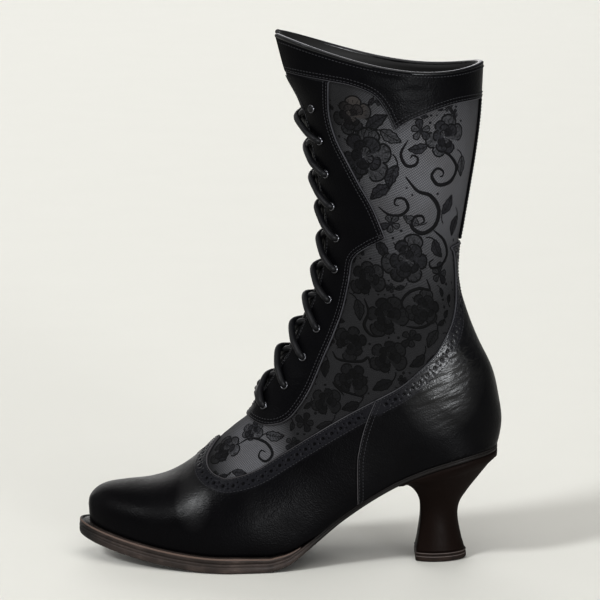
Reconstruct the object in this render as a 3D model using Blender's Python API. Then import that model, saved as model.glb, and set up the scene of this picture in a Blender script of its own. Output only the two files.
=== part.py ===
"""Left lace-up heeled boot with lace-cloth panels, built as separate pieces.

The tables are in millimetres and the scene is in metres. In the tables x runs back from
the toe tip of the sole, y runs from the outer side (minus) to the inner side (plus) and
z runs up from the floor. The upper is one function of two numbers: v runs along the boot
from the toe to the collar, and q runs round each half section from the sole or the back
seam (-1) over the widest point (0) to the instep ridge (1).
"""
import math

import bmesh
import bpy
from mathutils import Vector
from mathutils.kdtree import KDTree

MM = 0.001

# Walls and the gap that is left where two pieces meet
GAP = 0.35
UPPER_WALL = 1.8
OVERLAY_WALL = 1.2
TONGUE_WALL = 1.6
TONGUE_CLEAR = 1.9
BLOCK_HALF = 80.0

# Plan of the lasted edge, where the upper meets the sole
BALL_X = 90.0
BALL_HALF = 37.0
TOE_LENGTH = 84.5
TOE_POWER = 1.55
HEEL_X = 222.0
HEEL_HALF = 26.5
HEEL_LENGTH = 30.8
# rows: x, half width
WAIST_HALF = ((BALL_X, BALL_HALF), (122.0, 32.6), (162.0, 25.0), (195.0, 25.4), (HEEL_X, HEEL_HALF))
# rows: x, sideways shift of the middle
PLAN_MIDDLE = (
    (0.0, 6.0),
    (45.0, 2.0),
    (90.0, -1.5),
    (130.0, -2.5),
    (165.0, -1.8),
    (200.0, 0.0),
    (260.0, 0.0),
)

# Sole, seen from the side
TOE_SPRING = 13.2
TOE_SPRING_POWER = 1.7
FLAT_FROM = 84.0
FLAT_TO = 116.0
# rows: x, height of the underside
WAIST_RISE = (
    (FLAT_TO, 0.0),
    (125.0, 2.6),
    (141.0, 13.6),
    (161.0, 29.6),
    (180.0, 42.6),
    (197.0, 51.8),
    (222.0, 61.4),
    (240.0, 66.0),
    (256.0, 68.4),
)
# rows: x, thickness
OUTSOLE_WALL = ((0.0, 6.0), (110.0, 6.0), (150.0, 4.4), (200.0, 3.4), (256.0, 3.4))
# rows: x, how far the outsole stands out from the lasted edge
SOLE_MARGIN = ((0.0, 5.5), (104.0, 5.5), (132.0, 3.2), (150.0, 0.6), (200.0, 1.6), (256.0, 1.6))
WELT_WALL = 3.0
WELT_FADE_FROM = 118.0
WELT_FADE_TO = 152.0
WELT_END = 134.0
WELT_EASE = 0.7
WELT_INSET = 2.6
WELT_STEP = 0.3
WELT_STEPS = 24
SOLE_TIP = 2.6
INSOLE_INSET = 3.1
INSOLE_WALL = 3.2
SOLE_CHAMFER = 0.9
TOE_CLEAR = 0.4

# Sections of the upper, each between a low or back point and a front point.
# back_z is left out where the section stands on the sole.
# columns: back_x, back_z, front_x, front_z, half, wide_at, low_power, top_power, ridge_y, dip
SECTIONS = (
    (5.5, None, 4.7, 31.5, 0.0, 0.44, 2.0, 2.2, 6.0, 0.0),
    (6.5, None, 5.6, 36.2, 9.0, 0.42, 2.0, 2.2, 6.0, 0.0),
    (9.5, None, 9.3, 40.4, 13.8, 0.40, 2.0, 2.2, 6.0, 0.0),
    (16.0, None, 16.0, 43.3, 19.6, 0.38, 2.0, 2.2, 5.8, 0.0),
    (27.0, None, 27.0, 44.8, 25.8, 0.36, 2.0, 2.2, 5.4, 0.0),
    (42.0, None, 42.0, 46.4, 31.6, 0.34, 2.0, 2.2, 5.0, 0.0),
    (57.0, None, 55.0, 50.6, 35.8, 0.32, 2.0, 2.1, 4.6, 0.0),
    (72.0, None, 68.0, 58.8, 38.8, 0.29, 2.0, 2.0, 4.2, 0.0),
    (88.0, None, 81.0, 70.8, 40.4, 0.26, 2.0, 1.9, 3.8, 0.0),
    (104.0, None, 93.0, 81.4, 39.6, 0.25, 2.0, 1.85, 3.4, 0.0),
    (120.0, None, 102.6, 89.4, 36.6, 0.25, 2.0, 1.85, 3.0, 0.0),
    (137.0, None, 108.6, 99.4, 33.2, 0.27, 2.0, 1.9, 2.5, 0.0),
    (155.0, None, 114.2, 111.0, 30.6, 0.31, 2.0, 1.95, 2.0, 0.0),
    (175.0, None, 120.4, 122.5, 30.2, 0.37, 2.0, 2.0, 1.4, 0.0),
    (198.0, None, 127.0, 132.5, 30.8, 0.42, 2.0, 2.0, 0.9, 0.0),
    (222.0, None, 132.6, 144.5, 31.6, 0.46, 2.0, 2.0, 0.4, 0.0),
    (242.0, None, 137.6, 156.0, 32.3, 0.50, 2.0, 2.0, 0.2, 0.0),
    (250.0, None, 139.6, 161.0, 32.6, 0.51, 2.05, 2.0, 0.1, 0.0),
    (252.8, None, 141.3, 165.0, 32.8, 0.52, 2.1, 2.0, 0.0, 0.0),
    (255.2, 86.0, 144.2, 173.5, 33.0, 0.53, 2.15, 2.0, 0.0, 0.0),
    (253.3, 101.0, 146.8, 185.0, 33.0, 0.53, 2.15, 2.0, 0.0, 0.0),
    (249.2, 118.0, 148.2, 197.0, 33.0, 0.52, 2.15, 2.0, 0.0, 0.0),
    (240.3, 136.5, 148.3, 208.5, 32.8, 0.51, 2.1, 2.0, 0.0, 0.0),
    (233.2, 154.5, 147.0, 219.5, 32.6, 0.50, 2.05, 2.0, 0.0, 0.0),
    (228.4, 172.0, 145.0, 229.5, 32.9, 0.50, 2.0, 2.0, 0.0, 0.0),
    (228.2, 189.0, 142.9, 239.0, 33.7, 0.50, 2.0, 2.0, 0.0, 0.0),
    (231.2, 208.0, 140.7, 249.5, 35.0, 0.50, 2.0, 2.0, 0.0, 0.0),
    (234.6, 229.5, 138.3, 260.5, 36.6, 0.50, 2.0, 2.0, 0.0, 0.0),
    (238.0, 252.0, 135.7, 271.5, 38.2, 0.50, 2.0, 2.0, 0.0, 0.0),
    (240.4, 273.0, 131.8, 283.0, 39.2, 0.50, 2.0, 2.05, 0.0, 1.5),
    (241.2, 289.0, 123.4, 299.5, 39.7, 0.50, 2.0, 2.1, 0.0, 5.5),
    (241.8, 305.0, 116.6, 323.4, 40.0, 0.50, 2.0, 2.1, 0.0, 10.0),
)
SEAT_ROW = 18
LAST_ROW = len(SECTIONS) - 1
# Rows over which the side wall turns into the round heel cup
CUP_FROM = 11.5
CUP_RUN = 3.0

# Throat, between the two rows of eyelets
THROAT_LOW = 95.0
THROAT_ROUND = 24.0
THROAT_HALF = 9.0
THROAT_SPREAD = 5.0

# Seam lines drawn on the side view: rows of x and z
VAMP_TOP = (
    (87.6, 80.0),
    (85.6, 75.2),
    (82.4, 71.6),
    (79.4, 67.8),
    (77.7, 64.4),
    (78.2, 60.9),
    (81.0, 57.9),
    (85.4, 56.2),
    (91.6, 55.8),
    (107.0, 60.6),
    (121.0, 69.2),
    (138.0, 80.3),
    (151.0, 88.6),
    (165.0, 97.0),
    (178.8, 104.6),
)
SIDE_SEAM = ((178.8, 104.6), (174.8, 95.0), (171.4, 84.5), (169.0, 74.0), (167.8, 62.0), (168.2, 20.0))
COUNTER_TOP = (
    (178.8, 104.6),
    (193.6, 113.0),
    (205.0, 122.8),
    (214.4, 132.6),
    (220.0, 142.0),
    (224.2, 151.0),
    (226.2, 160.0),
    (226.6, 170.0),
    (226.2, 182.0),
    (225.0, 191.0),
    (223.4, 195.0),
    (230.0, 196.6),
    (240.0, 197.0),
)
COUNTER_BACK_Z = 198.0
CUFF_LOW = (
    (105.0, 303.4),
    (133.6, 299.0),
    (150.6, 296.6),
    (163.5, 294.2),
    (175.8, 289.3),
    (183.0, 281.0),
    (189.3, 268.0),
    (196.0, 272.6),
    (205.0, 276.6),
    (217.0, 280.6),
    (230.0, 283.2),
    (256.0, 284.0),
)
CUFF_POINT = 6
CUFF_BACK_Z = 283.6
EYESTAY_REAR = (
    (150.8, 302.0),
    (150.8, 284.0),
    (152.0, 273.0),
    (155.6, 261.4),
    (161.6, 249.4),
    (169.2, 235.0),
    (177.0, 221.0),
    (184.4, 203.0),
    (174.0, 197.0),
    (165.6, 189.0),
    (163.0, 174.0),
    (159.6, 158.6),
    (154.4, 143.4),
    (148.4, 129.4),
    (140.2, 110.0),
    (132.6, 97.6),
    (126.0, 90.4),
    (117.0, 86.6),
    (107.0, 86.8),
    (90.0, 92.0),
)
EYESTAY_POINT = 7
BACK_STRIP_HALF = 6.0
SEAM_GAP = 0.45

# Lacing
EYELET_ROWS = 11
EYELET_LOW = 103.0
EYELET_HIGH = 280.0
EYELET_INSET = 8.5
EYELET_RING = 2.6
EYELET_WIRE = 0.5
LACE_RADIUS = 1.4
LACE_LIFT = 1.2
# The lowest crossing lies this much deeper, on the tongue
LACE_DROP = 2.35

# Heel, front and back points of each tilted section, and half width
# columns: front_x, front_z, back_x, back_z, half
HEEL_SECTIONS = (
    (204.9, 5.7, 235.0, 5.7, 14.4),
    (206.3, 14.0, 232.6, 14.0, 12.8),
    (207.6, 25.0, 230.5, 26.0, 11.8),
    (207.4, 33.5, 231.6, 34.5, 12.6),
    (205.6, 41.0, 236.4, 42.5, 15.4),
    (202.2, 46.5, 243.2, 51.5, 19.6),
    (198.4, 49.6, 249.6, 59.8, 24.0),
)
HEEL_SEAT_FROM = 193.6
HEEL_LIP = 2.4
HEEL_WIDE_AT = 0.32
HEEL_BREAST = 0.80
LIFT_TOP = 5.35
LIFT_GROW = 0.9
# rows: z, how far the side of the top piece steps in
LIFT_STEPS = ((0.0, 0.7), (0.8, 0.0), (3.2, 0.0), (3.4, 0.8), (4.1, 0.8), (4.3, 0.2), (LIFT_TOP, 0.2))


def blend(a, b, t):
    """Value between a and b."""
    return a + (b - a) * t


def ease(t):
    """Smooth step from 0 to 1."""
    t = min(max(t, 0.0), 1.0)
    return t * t * (3.0 - 2.0 * t)


def along(rows, x):
    """Smooth curve through rows of (position, value) that never swings past them."""
    if x <= rows[0][0]:
        return rows[0][1]
    if x >= rows[-1][0]:
        return rows[-1][1]
    slopes = [(b[1] - a[1]) / (b[0] - a[0]) for a, b in zip(rows, rows[1:])]
    bends = [slopes[0]]
    for left, right in zip(slopes, slopes[1:]):
        bends.append(0.0 if left * right <= 0.0 else 2.0 * left * right / (left + right))
    bends.append(slopes[-1])
    i = max(k for k in range(len(rows) - 1) if rows[k][0] <= x)
    span = rows[i + 1][0] - rows[i][0]
    t = (x - rows[i][0]) / span
    start = (1.0 + 2.0 * t) * (1.0 - t) ** 2 * rows[i][1] + t * (1.0 - t) ** 2 * span * bends[i]
    end = t * t * (3.0 - 2.0 * t) * rows[i + 1][1] + t * t * (t - 1.0) * span * bends[i + 1]
    return start + end


def through(values, t):
    """Smooth curve through evenly numbered values, at position t."""
    i = min(max(int(t), 0), len(values) - 2)
    t -= i
    p1 = values[i]
    p2 = values[i + 1]
    p0 = values[i - 1] if i > 0 else 2.0 * p1 - p2
    p3 = values[i + 2] if i + 2 < len(values) else 2.0 * p2 - p1
    lift = (p2 - p0) + t * (2.0 * p0 - 5.0 * p1 + 4.0 * p2 - p3 + t * (3.0 * (p1 - p2) + p3 - p0))
    return p1 + 0.5 * t * lift


def plan_half(x, margin=0.0, tip=0.0):
    """Half width of the lasted edge at x, grown by a margin all round and more at the tip."""
    if x < BALL_X:
        reach = min((BALL_X - x) / (TOE_LENGTH + margin + tip), 1.0)
        return (BALL_HALF + margin) * math.sqrt(1.0 - reach ** TOE_POWER)
    if x > HEEL_X:
        reach = min((x - HEEL_X) / (HEEL_LENGTH + margin), 1.0)
        return (HEEL_HALF + margin) * math.sqrt(1.0 - reach * reach)
    return along(WAIST_HALF, x) + margin


def plan_middle(x):
    """Sideways shift of the middle of the sole at x."""
    return along(PLAN_MIDDLE, x)


def sole_under(x):
    """Height of the underside of the outsole at x."""
    if x < FLAT_FROM:
        return TOE_SPRING * ((FLAT_FROM - x) / FLAT_FROM) ** TOE_SPRING_POWER
    if x <= FLAT_TO:
        return 0.0
    return along(WAIST_RISE, x)


def sole_top(x):
    """Height of the top of the outsole at x."""
    return sole_under(x) + along(OUTSOLE_WALL, x)


def welt_rise(x):
    """Height that the welt and its gap put under the upper at x."""
    fade = 1.0 - ease((x - WELT_FADE_FROM) / (WELT_FADE_TO - WELT_FADE_FROM))
    return (WELT_WALL + GAP) * fade


def lasted_edge(x):
    """Height of the bottom edge of the upper at x."""
    return sole_top(x) + GAP + welt_rise(x) + TOE_CLEAR * (1.0 - ease(x / FLAT_FROM))


def column(number):
    """One column of the section table, with the standing heights filled in."""
    if number != 1:
        return [row[number] for row in SECTIONS]
    return [lasted_edge(row[0]) if row[1] is None else row[1] for row in SECTIONS]


COLUMNS = [column(number) for number in range(len(SECTIONS[0]))]


def section(v):
    """Every column of the section at v."""
    return [through(values, v) for values in COLUMNS]


def dip_shape(h):
    """Sag of the collar line between back (0) and front (1), deepest behind the middle."""
    return 0.5 * (4.0 * h * (1.0 - h) + 6.75 * h * (1.0 - h) ** 2)


def rise_of(q, wide_at, low_power, top_power):
    """Share of the section's height at q."""
    angle = abs(q) * math.pi / 2.0
    if q >= 0.0:
        return wide_at + (1.0 - wide_at) * math.sin(angle) ** (2.0 / top_power)
    return wide_at * (1.0 - math.sin(angle) ** (2.0 / low_power))


def heel_cup(q, foot, half, wide_at, low_power):
    """Share of height and half width under the widest line of an oval that is cut off at the lasted edge."""
    full = math.acos(min(foot / half, 0.98) ** (low_power / 2.0))
    angle = abs(q) * full
    h = wide_at * (1.0 - (math.sin(angle) / math.sin(full)) ** (2.0 / low_power))
    return h, half * max(math.cos(angle), 0.0) ** (2.0 / low_power)


def surface(v, q, side):
    """Point on the outside of the upper; side is -1 for the outer and 1 for the inner half."""
    back_x, back_z, front_x, front_z, half, wide_at, low_power, top_power, ridge_y, dip = section(v)
    foot = 0.0
    if v < SEAT_ROW:
        back_z = lasted_edge(back_x)
        foot = plan_half(back_x)
    h = rise_of(q, wide_at, low_power, top_power)
    spread = max(math.cos(abs(q) * math.pi / 2.0), 0.0)
    if q >= 0.0:
        width = half * spread ** (2.0 / top_power)
    else:
        width = foot + (half - foot) * spread ** (2.0 / low_power)
        if v > CUP_FROM:
            share = ease((v - CUP_FROM) / CUP_RUN)
            cup_h, cup_width = heel_cup(q, foot, half, wide_at, low_power)
            h = blend(h, cup_h, share)
            width = blend(width, cup_width, share)
    x = blend(back_x, front_x, h)
    y = blend(plan_middle(back_x), ridge_y, h) + side * width
    z = blend(back_z, front_z, h) - dip * dip_shape(h)
    return Vector((x, y, z))


def outward(v, q, side):
    """Direction out of the upper, kept level or rising so that edges on the sole stay flat."""
    step = 0.004
    q = max(q, -0.7 - 0.3 * ease((v - SEAT_ROW + 2.0) / 2.0))
    v0 = max(v - step, 0.0)
    v1 = min(v + step, float(LAST_ROW))
    q0 = max(q - step, -1.0)
    q1 = min(q + step, 1.0)
    if v < SEAT_ROW:
        v1 = min(v1, SEAT_ROW - 1e-6)
    run = surface(v1, q, side) - surface(v0, q, side)
    turn = surface(v, q1, side) - surface(v, q0, side)
    normal = turn.cross(run) * side
    normal.z = max(normal.z, 0.0)
    return normal.normalized()


def standing(v, q, side, distance):
    """Point at a distance outside the upper's surface."""
    return surface(v, q, side) + outward(v, q, side) * distance


def find(values, target, low, high):
    """Position v between two rows where a column reaches the target."""
    rising = through(values, high) > through(values, low)
    for _ in range(50):
        middle = (low + high) / 2.0
        if (through(values, middle) < target) == rising:
            low = middle
        else:
            high = middle
    return (low + high) / 2.0


def q_at_width(v, width):
    """Place q on the front of the section where it is this far from the ridge."""
    if width <= 0.0:
        return 1.0
    half = through(COLUMNS[4], v)
    power = through(COLUMNS[7], v)
    share = min(width / half, 1.0)
    return math.acos(share ** (power / 2.0)) / (math.pi / 2.0)


def q_at_back(v, width):
    """Place q on the back of a closed section where it is this far from the back seam."""
    half = through(COLUMNS[4], v)
    power = through(COLUMNS[6], v)
    return -math.acos((width / half) ** (power / 2.0)) / (math.pi / 2.0)


V_THROAT = find(COLUMNS[3], THROAT_LOW, 9.0, 14.0)


def throat_half(v):
    """Half the gap between the facings."""
    if v <= V_THROAT:
        return 0.0
    height = through(COLUMNS[3], v) - THROAT_LOW
    opening = THROAT_HALF * math.sqrt(min(height / THROAT_ROUND, 1.0))
    return opening + THROAT_SPREAD * ease(height / (COLUMNS[3][-1] - THROAT_LOW)) ** 2


def q_throat(v):
    """Place q of the facing's edge."""
    return q_at_width(v, throat_half(v))


# Grid of the upper, shared by the panels laid on it
ROUND = 10
PLACES = sorted(
    [float(i) for i in range(LAST_ROW + 1)]
    + [i + 0.5 for i in range(LAST_ROW) if 10 <= i <= 18 or i >= LAST_ROW - 3]
    + [V_THROAT, V_THROAT + 0.15]
)


def on_back(z):
    """Place v of the back seam at this height."""
    return find(COLUMNS[1], z, float(SEAT_ROW), float(LAST_ROW))


def even_row(v):
    """Places (v, q) spread evenly round half a section, from the sole or back to the front."""
    end = q_throat(v)
    marks = [blend(-1.0, end, i / 60.0) for i in range(61)]
    runs = [0.0]
    for a, b in zip(marks, marks[1:]):
        runs.append(runs[-1] + (surface(v, b, -1) - surface(v, a, -1)).length)
    row = []
    k = 0
    for i in range(ROUND + 1):
        target = runs[-1] * i / ROUND
        while k < len(runs) - 2 and runs[k + 1] < target:
            k += 1
        share = (target - runs[k]) / (runs[k + 1] - runs[k])
        row.append((v, min(blend(marks[k], marks[k + 1], share), 1.0)))
    row[-1] = (v, end)
    return row


def upper_rows(low, high):
    """Rows of the upper's grid between two places along the boot."""
    return [even_row(v) for v in PLACES if low <= v <= high]


def smooth(points, corner=None, steps=2):
    """Points of a smooth line through drawn points; a corner stays sharp."""
    if corner is not None:
        return smooth(points[:corner + 1], None, steps) + smooth(points[corner:], None, steps)[1:]
    made = []
    for i in range((len(points) - 1) * steps + 1):
        t = i / steps
        made.append((through([p[0] for p in points], t), through([p[1] for p in points], t)))
    return made


def beside(points, distance):
    """A drawn line moved sideways, to the right of its run."""
    moved = []
    for i, (x, z) in enumerate(points):
        before = points[max(i - 1, 0)]
        after = points[min(i + 1, len(points) - 1)]
        dx = after[0] - before[0]
        dz = after[1] - before[1]
        size = math.hypot(dx, dz)
        moved.append((x + dz / size * distance, z - dx / size * distance))
    return moved


def weld(points):
    """For each point, the number of the first point at the same place."""
    tree = KDTree(len(points))
    for number, point in enumerate(points):
        tree.insert(point, number)
    tree.balance()
    return [min(hit[1] for hit in tree.find_range(point, 0.004)) for point in points]


def new_object(name, bm, material):
    """Object made from a bmesh in millimetres."""
    bmesh.ops.scale(bm, vec=(MM, MM, MM), verts=bm.verts)
    bmesh.ops.recalc_face_normals(bm, faces=bm.faces)
    mesh = bpy.data.meshes.new(name)
    bm.to_mesh(mesh)
    bm.free()
    mesh.materials.append(material)
    part = bpy.data.objects.new(name, mesh)
    parts.objects.link(part)
    part.parent = root
    return part


def wall(name, grids, inner, outer, material):
    """Closed wall between two distances from the upper; grids are (side, rows of (v, q))."""
    points = []
    normals = []
    corners = []
    for side, rows in grids:
        wide = len(rows[0])
        base = len(points)
        for row in rows:
            for v, q in row:
                points.append(surface(v, q, side))
                normals.append(outward(v, q, side))
        for i in range(len(rows) - 1):
            for k in range(wide - 1):
                first = base + i * wide + k
                near, far = first + wide, first + wide + 1
                if rows[i][k][0] == 0.0:
                    corners += [(first, first + 1, near), (first + 1, far, near)]
                else:
                    corners += [(first, first + 1, far), (first, far, near)]
    same = weld(points)
    turned = [Vector() for _ in points]
    for number, keep in enumerate(same):
        turned[keep] += normals[number]
    bm = bmesh.new()
    outside = {}
    inside = {}
    for keep in sorted(set(same)):
        direction = turned[keep].normalized()
        outside[keep] = bm.verts.new(points[keep] + direction * outer)
        inside[keep] = bm.verts.new(points[keep] + direction * inner)
    edges = {}
    for corner in corners:
        loop = [same[number] for number in corner]
        if len(set(loop)) < 3:
            continue
        bm.faces.new([outside[number] for number in loop])
        bm.faces.new([inside[number] for number in reversed(loop)])
        for a, b in zip(loop, loop[1:] + loop[:1]):
            key = (min(a, b), max(a, b))
            edges[key] = None if key in edges else (a, b)
    for edge in edges.values():
        if edge is not None:
            a, b = edge
            bm.faces.new((outside[b], outside[a], inside[a], inside[b]))
    return new_object(name, bm, material)


def both(rows):
    """The same grid on the outer and the inner side."""
    return [(-1, rows), (1, rows)]


def ladder(name, rings, material):
    """Solid through sections, each a list of points from the outer side over to the inner side."""
    flat = [point for ring in rings for point in ring]
    same = weld(flat)
    bm = bmesh.new()
    made = {keep: bm.verts.new(flat[keep]) for keep in sorted(set(same))}
    wide = len(rings[0])

    def face(numbers):
        loop = []
        for number in numbers:
            if same[number] not in loop:
                loop.append(same[number])
        if len(loop) > 2:
            bm.faces.new([made[number] for number in loop])

    for i in range(len(rings) - 1):
        for k in range(wide):
            nxt = (k + 1) % wide
            face((i * wide + k, i * wide + nxt, (i + 1) * wide + nxt, (i + 1) * wide + k))
    for end in (0, len(rings) - 1):
        cap = [same[end * wide + k] for k in range(wide)]
        if len(set(cap)) == wide:
            face(cap)
    return new_object(name, bm, material)


def leather(name, colour, roughness, metallic=0.0):
    """Plain material."""
    material = bpy.data.materials.new(name)
    material.use_nodes = True
    shader = material.node_tree.nodes["Principled BSDF"]
    shader.inputs["Base Color"].default_value = (*colour, 1.0)
    shader.inputs["Roughness"].default_value = roughness
    shader.inputs["Metallic"].default_value = metallic
    return material


def crowded(low, high, count, power):
    """Positions from low to high that crowd towards low."""
    return [low + (high - low) * (i / count) ** power for i in range(count + 1)]


def make_upper():
    """The hollow shell, open at the collar, the throat and underneath."""
    rows = upper_rows(0.0, float(LAST_ROW))
    return wall("upper", both(rows), -UPPER_WALL, 0.0, leather("lace_cloth", (0.045, 0.043, 0.045), 0.7))


def outline_block(name, outline):
    """Block with a drawn outline, straight through the boot from side to side."""
    bm = bmesh.new()
    face = bm.faces.new([bm.verts.new((x, -BLOCK_HALF, z)) for x, z in outline])
    grown = bmesh.ops.extrude_face_region(bm, geom=[face])
    moved = [item for item in grown["geom"] if isinstance(item, bmesh.types.BMVert)]
    bmesh.ops.translate(bm, vec=(0.0, 2.0 * BLOCK_HALF, 0.0), verts=moved)
    block = new_object(name, bm, bpy.data.materials["black_leather"])
    parts.objects.unlink(block)
    cutters.objects.link(block)
    block.hide_render = True
    block.display_type = "WIRE"
    return block


def panel(name, outline, low, high, inner, outer, material):
    """Overlay: a wall round the upper, kept where a drawn outline covers it."""
    whole = wall(name, both(upper_rows(low, high)), inner, outer, material)
    keep = whole.modifiers.new("outline", "BOOLEAN")
    keep.operation = "INTERSECT"
    keep.solver = "EXACT"
    keep.object = outline_block(name + "_outline", outline)
    return whole


def make_vamp(material):
    """Toe and vamp overlay, in front of the side seam."""
    outline = smooth(VAMP_TOP) + smooth(SIDE_SEAM)[1:]
    outline += [(168.2, -20.0), (-20.0, -20.0), (-20.0, 80.0)]
    return panel("vamp", outline, 0.0, 16.0, GAP, GAP + OVERLAY_WALL, material)


def make_counter(material):
    """Heel overlay, behind the side seam."""
    seam = beside(smooth(SIDE_SEAM), -SEAM_GAP)
    top = smooth(COUNTER_TOP)
    outline = top[1:] + [(300.0, 197.0), (300.0, -20.0), (seam[-1][0], -20.0)] + seam[::-1]
    return panel("counter", outline, 12.0, 27.0, GAP, GAP + OVERLAY_WALL, material)


def cuff_line():
    """Lower edge of the cuff, from front to back."""
    return smooth(CUFF_LOW, CUFF_POINT)


def make_cuff(material):
    """Collar band with a dropped point on each side."""
    outline = cuff_line() + [(256.0, 400.0), (105.0, 400.0)]
    return panel("cuff", outline, 27.0, float(LAST_ROW), GAP, GAP + OVERLAY_WALL, material)


def make_eyestay(material):
    """Facings that carry the eyelets, joined under the throat."""
    rear = smooth(EYESTAY_REAR, EYESTAY_POINT)
    edge = [(x, z - SEAM_GAP) for x, z in cuff_line() if x < EYESTAY_REAR[0][0]]
    corner_z = along(CUFF_LOW[:5], EYESTAY_REAR[0][0]) - SEAM_GAP
    rear = [(x, z) for x, z in rear if z < corner_z - 0.3 or x < 140.0]
    outline = edge + [(EYESTAY_REAR[0][0], corner_z)] + rear + [(90.0, 150.0)]
    return panel("eyestay", outline, 9.0, float(LAST_ROW), GAP, GAP + OVERLAY_WALL, material)


def make_back_strip(material):
    """Strip on the back seam between counter and cuff."""
    low = on_back(COUNTER_BACK_Z) + 0.03
    high = on_back(CUFF_BACK_Z) - 0.03
    rows = []
    for v in [low] + [v for v in PLACES if low + 0.1 < v < high - 0.1] + [high]:
        edge = q_at_back(v, BACK_STRIP_HALF)
        rows.append([(v, blend(-1.0, edge, k / 3.0)) for k in range(4)])
    return wall("back_strip", both(rows), GAP, GAP + OVERLAY_WALL, material)


def make_tongue(material):
    """Sheet behind the lacing."""
    rows = []
    low = V_THROAT - 0.9
    high = LAST_ROW - 1.15
    for i in range(17):
        v = blend(low, high, i / 16.0)
        reach = throat_half(v) + blend(8.0, 11.0, i / 16.0)
        edge = q_at_width(v, reach)
        rows.append([(v, blend(edge, 1.0, k / 4.0)) for k in range(5)])
    far = -(UPPER_WALL + TONGUE_CLEAR)
    return wall("tongue", both(rows), far - TONGUE_WALL, far, material)


def sole_margin(x):
    """How far the outsole stands out from the lasted edge at x."""
    return along(SOLE_MARGIN, x)


def standing_places(low, high):
    """Where the upper's rows stand on the sole, so that the pieces share their facets."""
    stands = [through(COLUMNS[0], v) for v in PLACES if v < SEAT_ROW]
    return [x for x in stands if low < x < high]


def make_outsole(material):
    """Outsole with toe spring, flat tread, arch and heel seat."""
    tip = BALL_X - TOE_LENGTH - sole_margin(0.0) - SOLE_TIP
    tail = HEEL_X + HEEL_LENGTH + sole_margin(HEEL_X)
    places = crowded(tip, 44.0, 9, 2.0)
    places += [56.0, 70.0, FLAT_FROM, 100.0, FLAT_TO, 120.5, 126.0, 131.0, 143.0, 149.0, 165.0, 185.0]
    places = sorted(places + standing_places(FLAT_TO, HEEL_X - 1.0))
    places += [tail - d for d in reversed(crowded(0.0, tail - HEEL_X, 6, 2.0))]
    rings = []
    for x in places:
        half = plan_half(x, sole_margin(x), SOLE_TIP)
        middle = plan_middle(x)
        low = sole_under(x)
        high = sole_top(x)
        inner = max(half - SOLE_CHAMFER, 0.0)
        near = [(inner, low), (half, low + SOLE_CHAMFER), (half, high)]
        ring = [Vector((x, middle - w, z)) for w, z in near]
        ring += [Vector((x, middle + w, z)) for w, z in reversed(near)]
        rings.append(ring)
    return ladder("outsole", rings, material)


def make_welt(material):
    """Strip between upper and outsole round the front of the boot."""
    outer_tip = BALL_X - TOE_LENGTH - sole_margin(0.0) - SOLE_TIP + WELT_STEP
    inner_tip = BALL_X - TOE_LENGTH + WELT_INSET
    rings = []
    for i in range(-WELT_STEPS, WELT_STEPS + 1):
        side = -1 if i < 0 else 1
        share = (abs(i) / WELT_STEPS) ** 1.7
        corners = []
        for tip, outside in ((outer_tip, True), (inner_tip, False)):
            x = blend(tip, WELT_END, share)
            if outside:
                width = plan_half(x, sole_margin(x) - WELT_STEP, SOLE_TIP)
            else:
                width = plan_half(x, -WELT_INSET)
            y = plan_middle(x) + side * width
            low = sole_top(x) + GAP
            high = sole_top(x) + welt_rise(x) - WELT_EASE * ease((x - BALL_X) / (WELT_FADE_FROM - BALL_X))
            corners.append((Vector((x, y, low)), Vector((x, y, high))))
        rings.append([corners[0][0], corners[0][1], corners[1][1], corners[1][0]])
    return ladder("welt", rings, material)


def make_insole(material):
    """Inner sole, inside the welt and the upper."""
    tip = BALL_X - TOE_LENGTH + INSOLE_INSET
    tail = HEEL_X + HEEL_LENGTH - INSOLE_INSET
    places = crowded(tip, 44.0, 7, 2.0)
    places += [58.0, 72.0, FLAT_FROM, 100.0, FLAT_TO, 120.5, 126.0, 131.0, 143.0, 149.0, 165.0, 185.0]
    places = sorted(places + standing_places(FLAT_TO, HEEL_X - 1.0))
    places += [tail - d for d in reversed(crowded(0.0, tail - HEEL_X, 5, 2.0))]
    rings = []
    for x in places:
        half = plan_half(x, -INSOLE_INSET)
        middle = plan_middle(x)
        low = sole_top(x) + GAP
        high = low + INSOLE_WALL + welt_rise(x) * 0.5
        ring = [Vector((x, middle - half, low)), Vector((x, middle - half, high))]
        ring += [Vector((x, middle + half, high)), Vector((x, middle + half, low))]
        rings.append(ring)
    return ladder("insole", rings, material)


def heel_outline(h):
    """Half width of a heel section from breast (0) to back (1), as a share of its widest."""
    if h < HEEL_WIDE_AT:
        return 1.0 - (1.0 - HEEL_BREAST) * ((HEEL_WIDE_AT - h) / HEEL_WIDE_AT) ** 2
    return math.sqrt(max(1.0 - ((h - HEEL_WIDE_AT) / (1.0 - HEEL_WIDE_AT)) ** 2, 0.0))


def heel_shares():
    """Places from breast to back that crowd towards the round back."""
    return [0.0, 0.07, 0.18, HEEL_WIDE_AT, 0.46, 0.6, 0.73, 0.84, 0.92, 0.975, 1.0]


def stack(name, levels, material):
    """Solid through level rings; each level is a list of (x, half width, z) from front to back."""
    bm = bmesh.new()
    made = []
    for level in levels:
        near = [bm.verts.new((x, -w, z)) for x, w, z in level]
        far = []
        for i, (x, w, z) in enumerate(level):
            far.append(near[i] if w < 1e-6 else bm.verts.new((x, w, z)))
        made.append((near, far))

    def face(corners):
        loop = []
        for vert in corners:
            if vert not in loop:
                loop.append(vert)
        if len(loop) > 2:
            bm.faces.new(loop)

    for (near0, far0), (near1, far1) in zip(made, made[1:]):
        face((near0[0], far0[0], far1[0], near1[0]))
        for k in range(len(near0) - 1):
            face((near0[k], near0[k + 1], near1[k + 1], near1[k]))
            face((far0[k], far0[k + 1], far1[k + 1], far1[k]))
    for near, far in (made[0], made[-1]):
        for k in range(len(near) - 1):
            face((near[k], near[k + 1], far[k + 1], far[k]))
    return new_object(name, bm, material)


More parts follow.
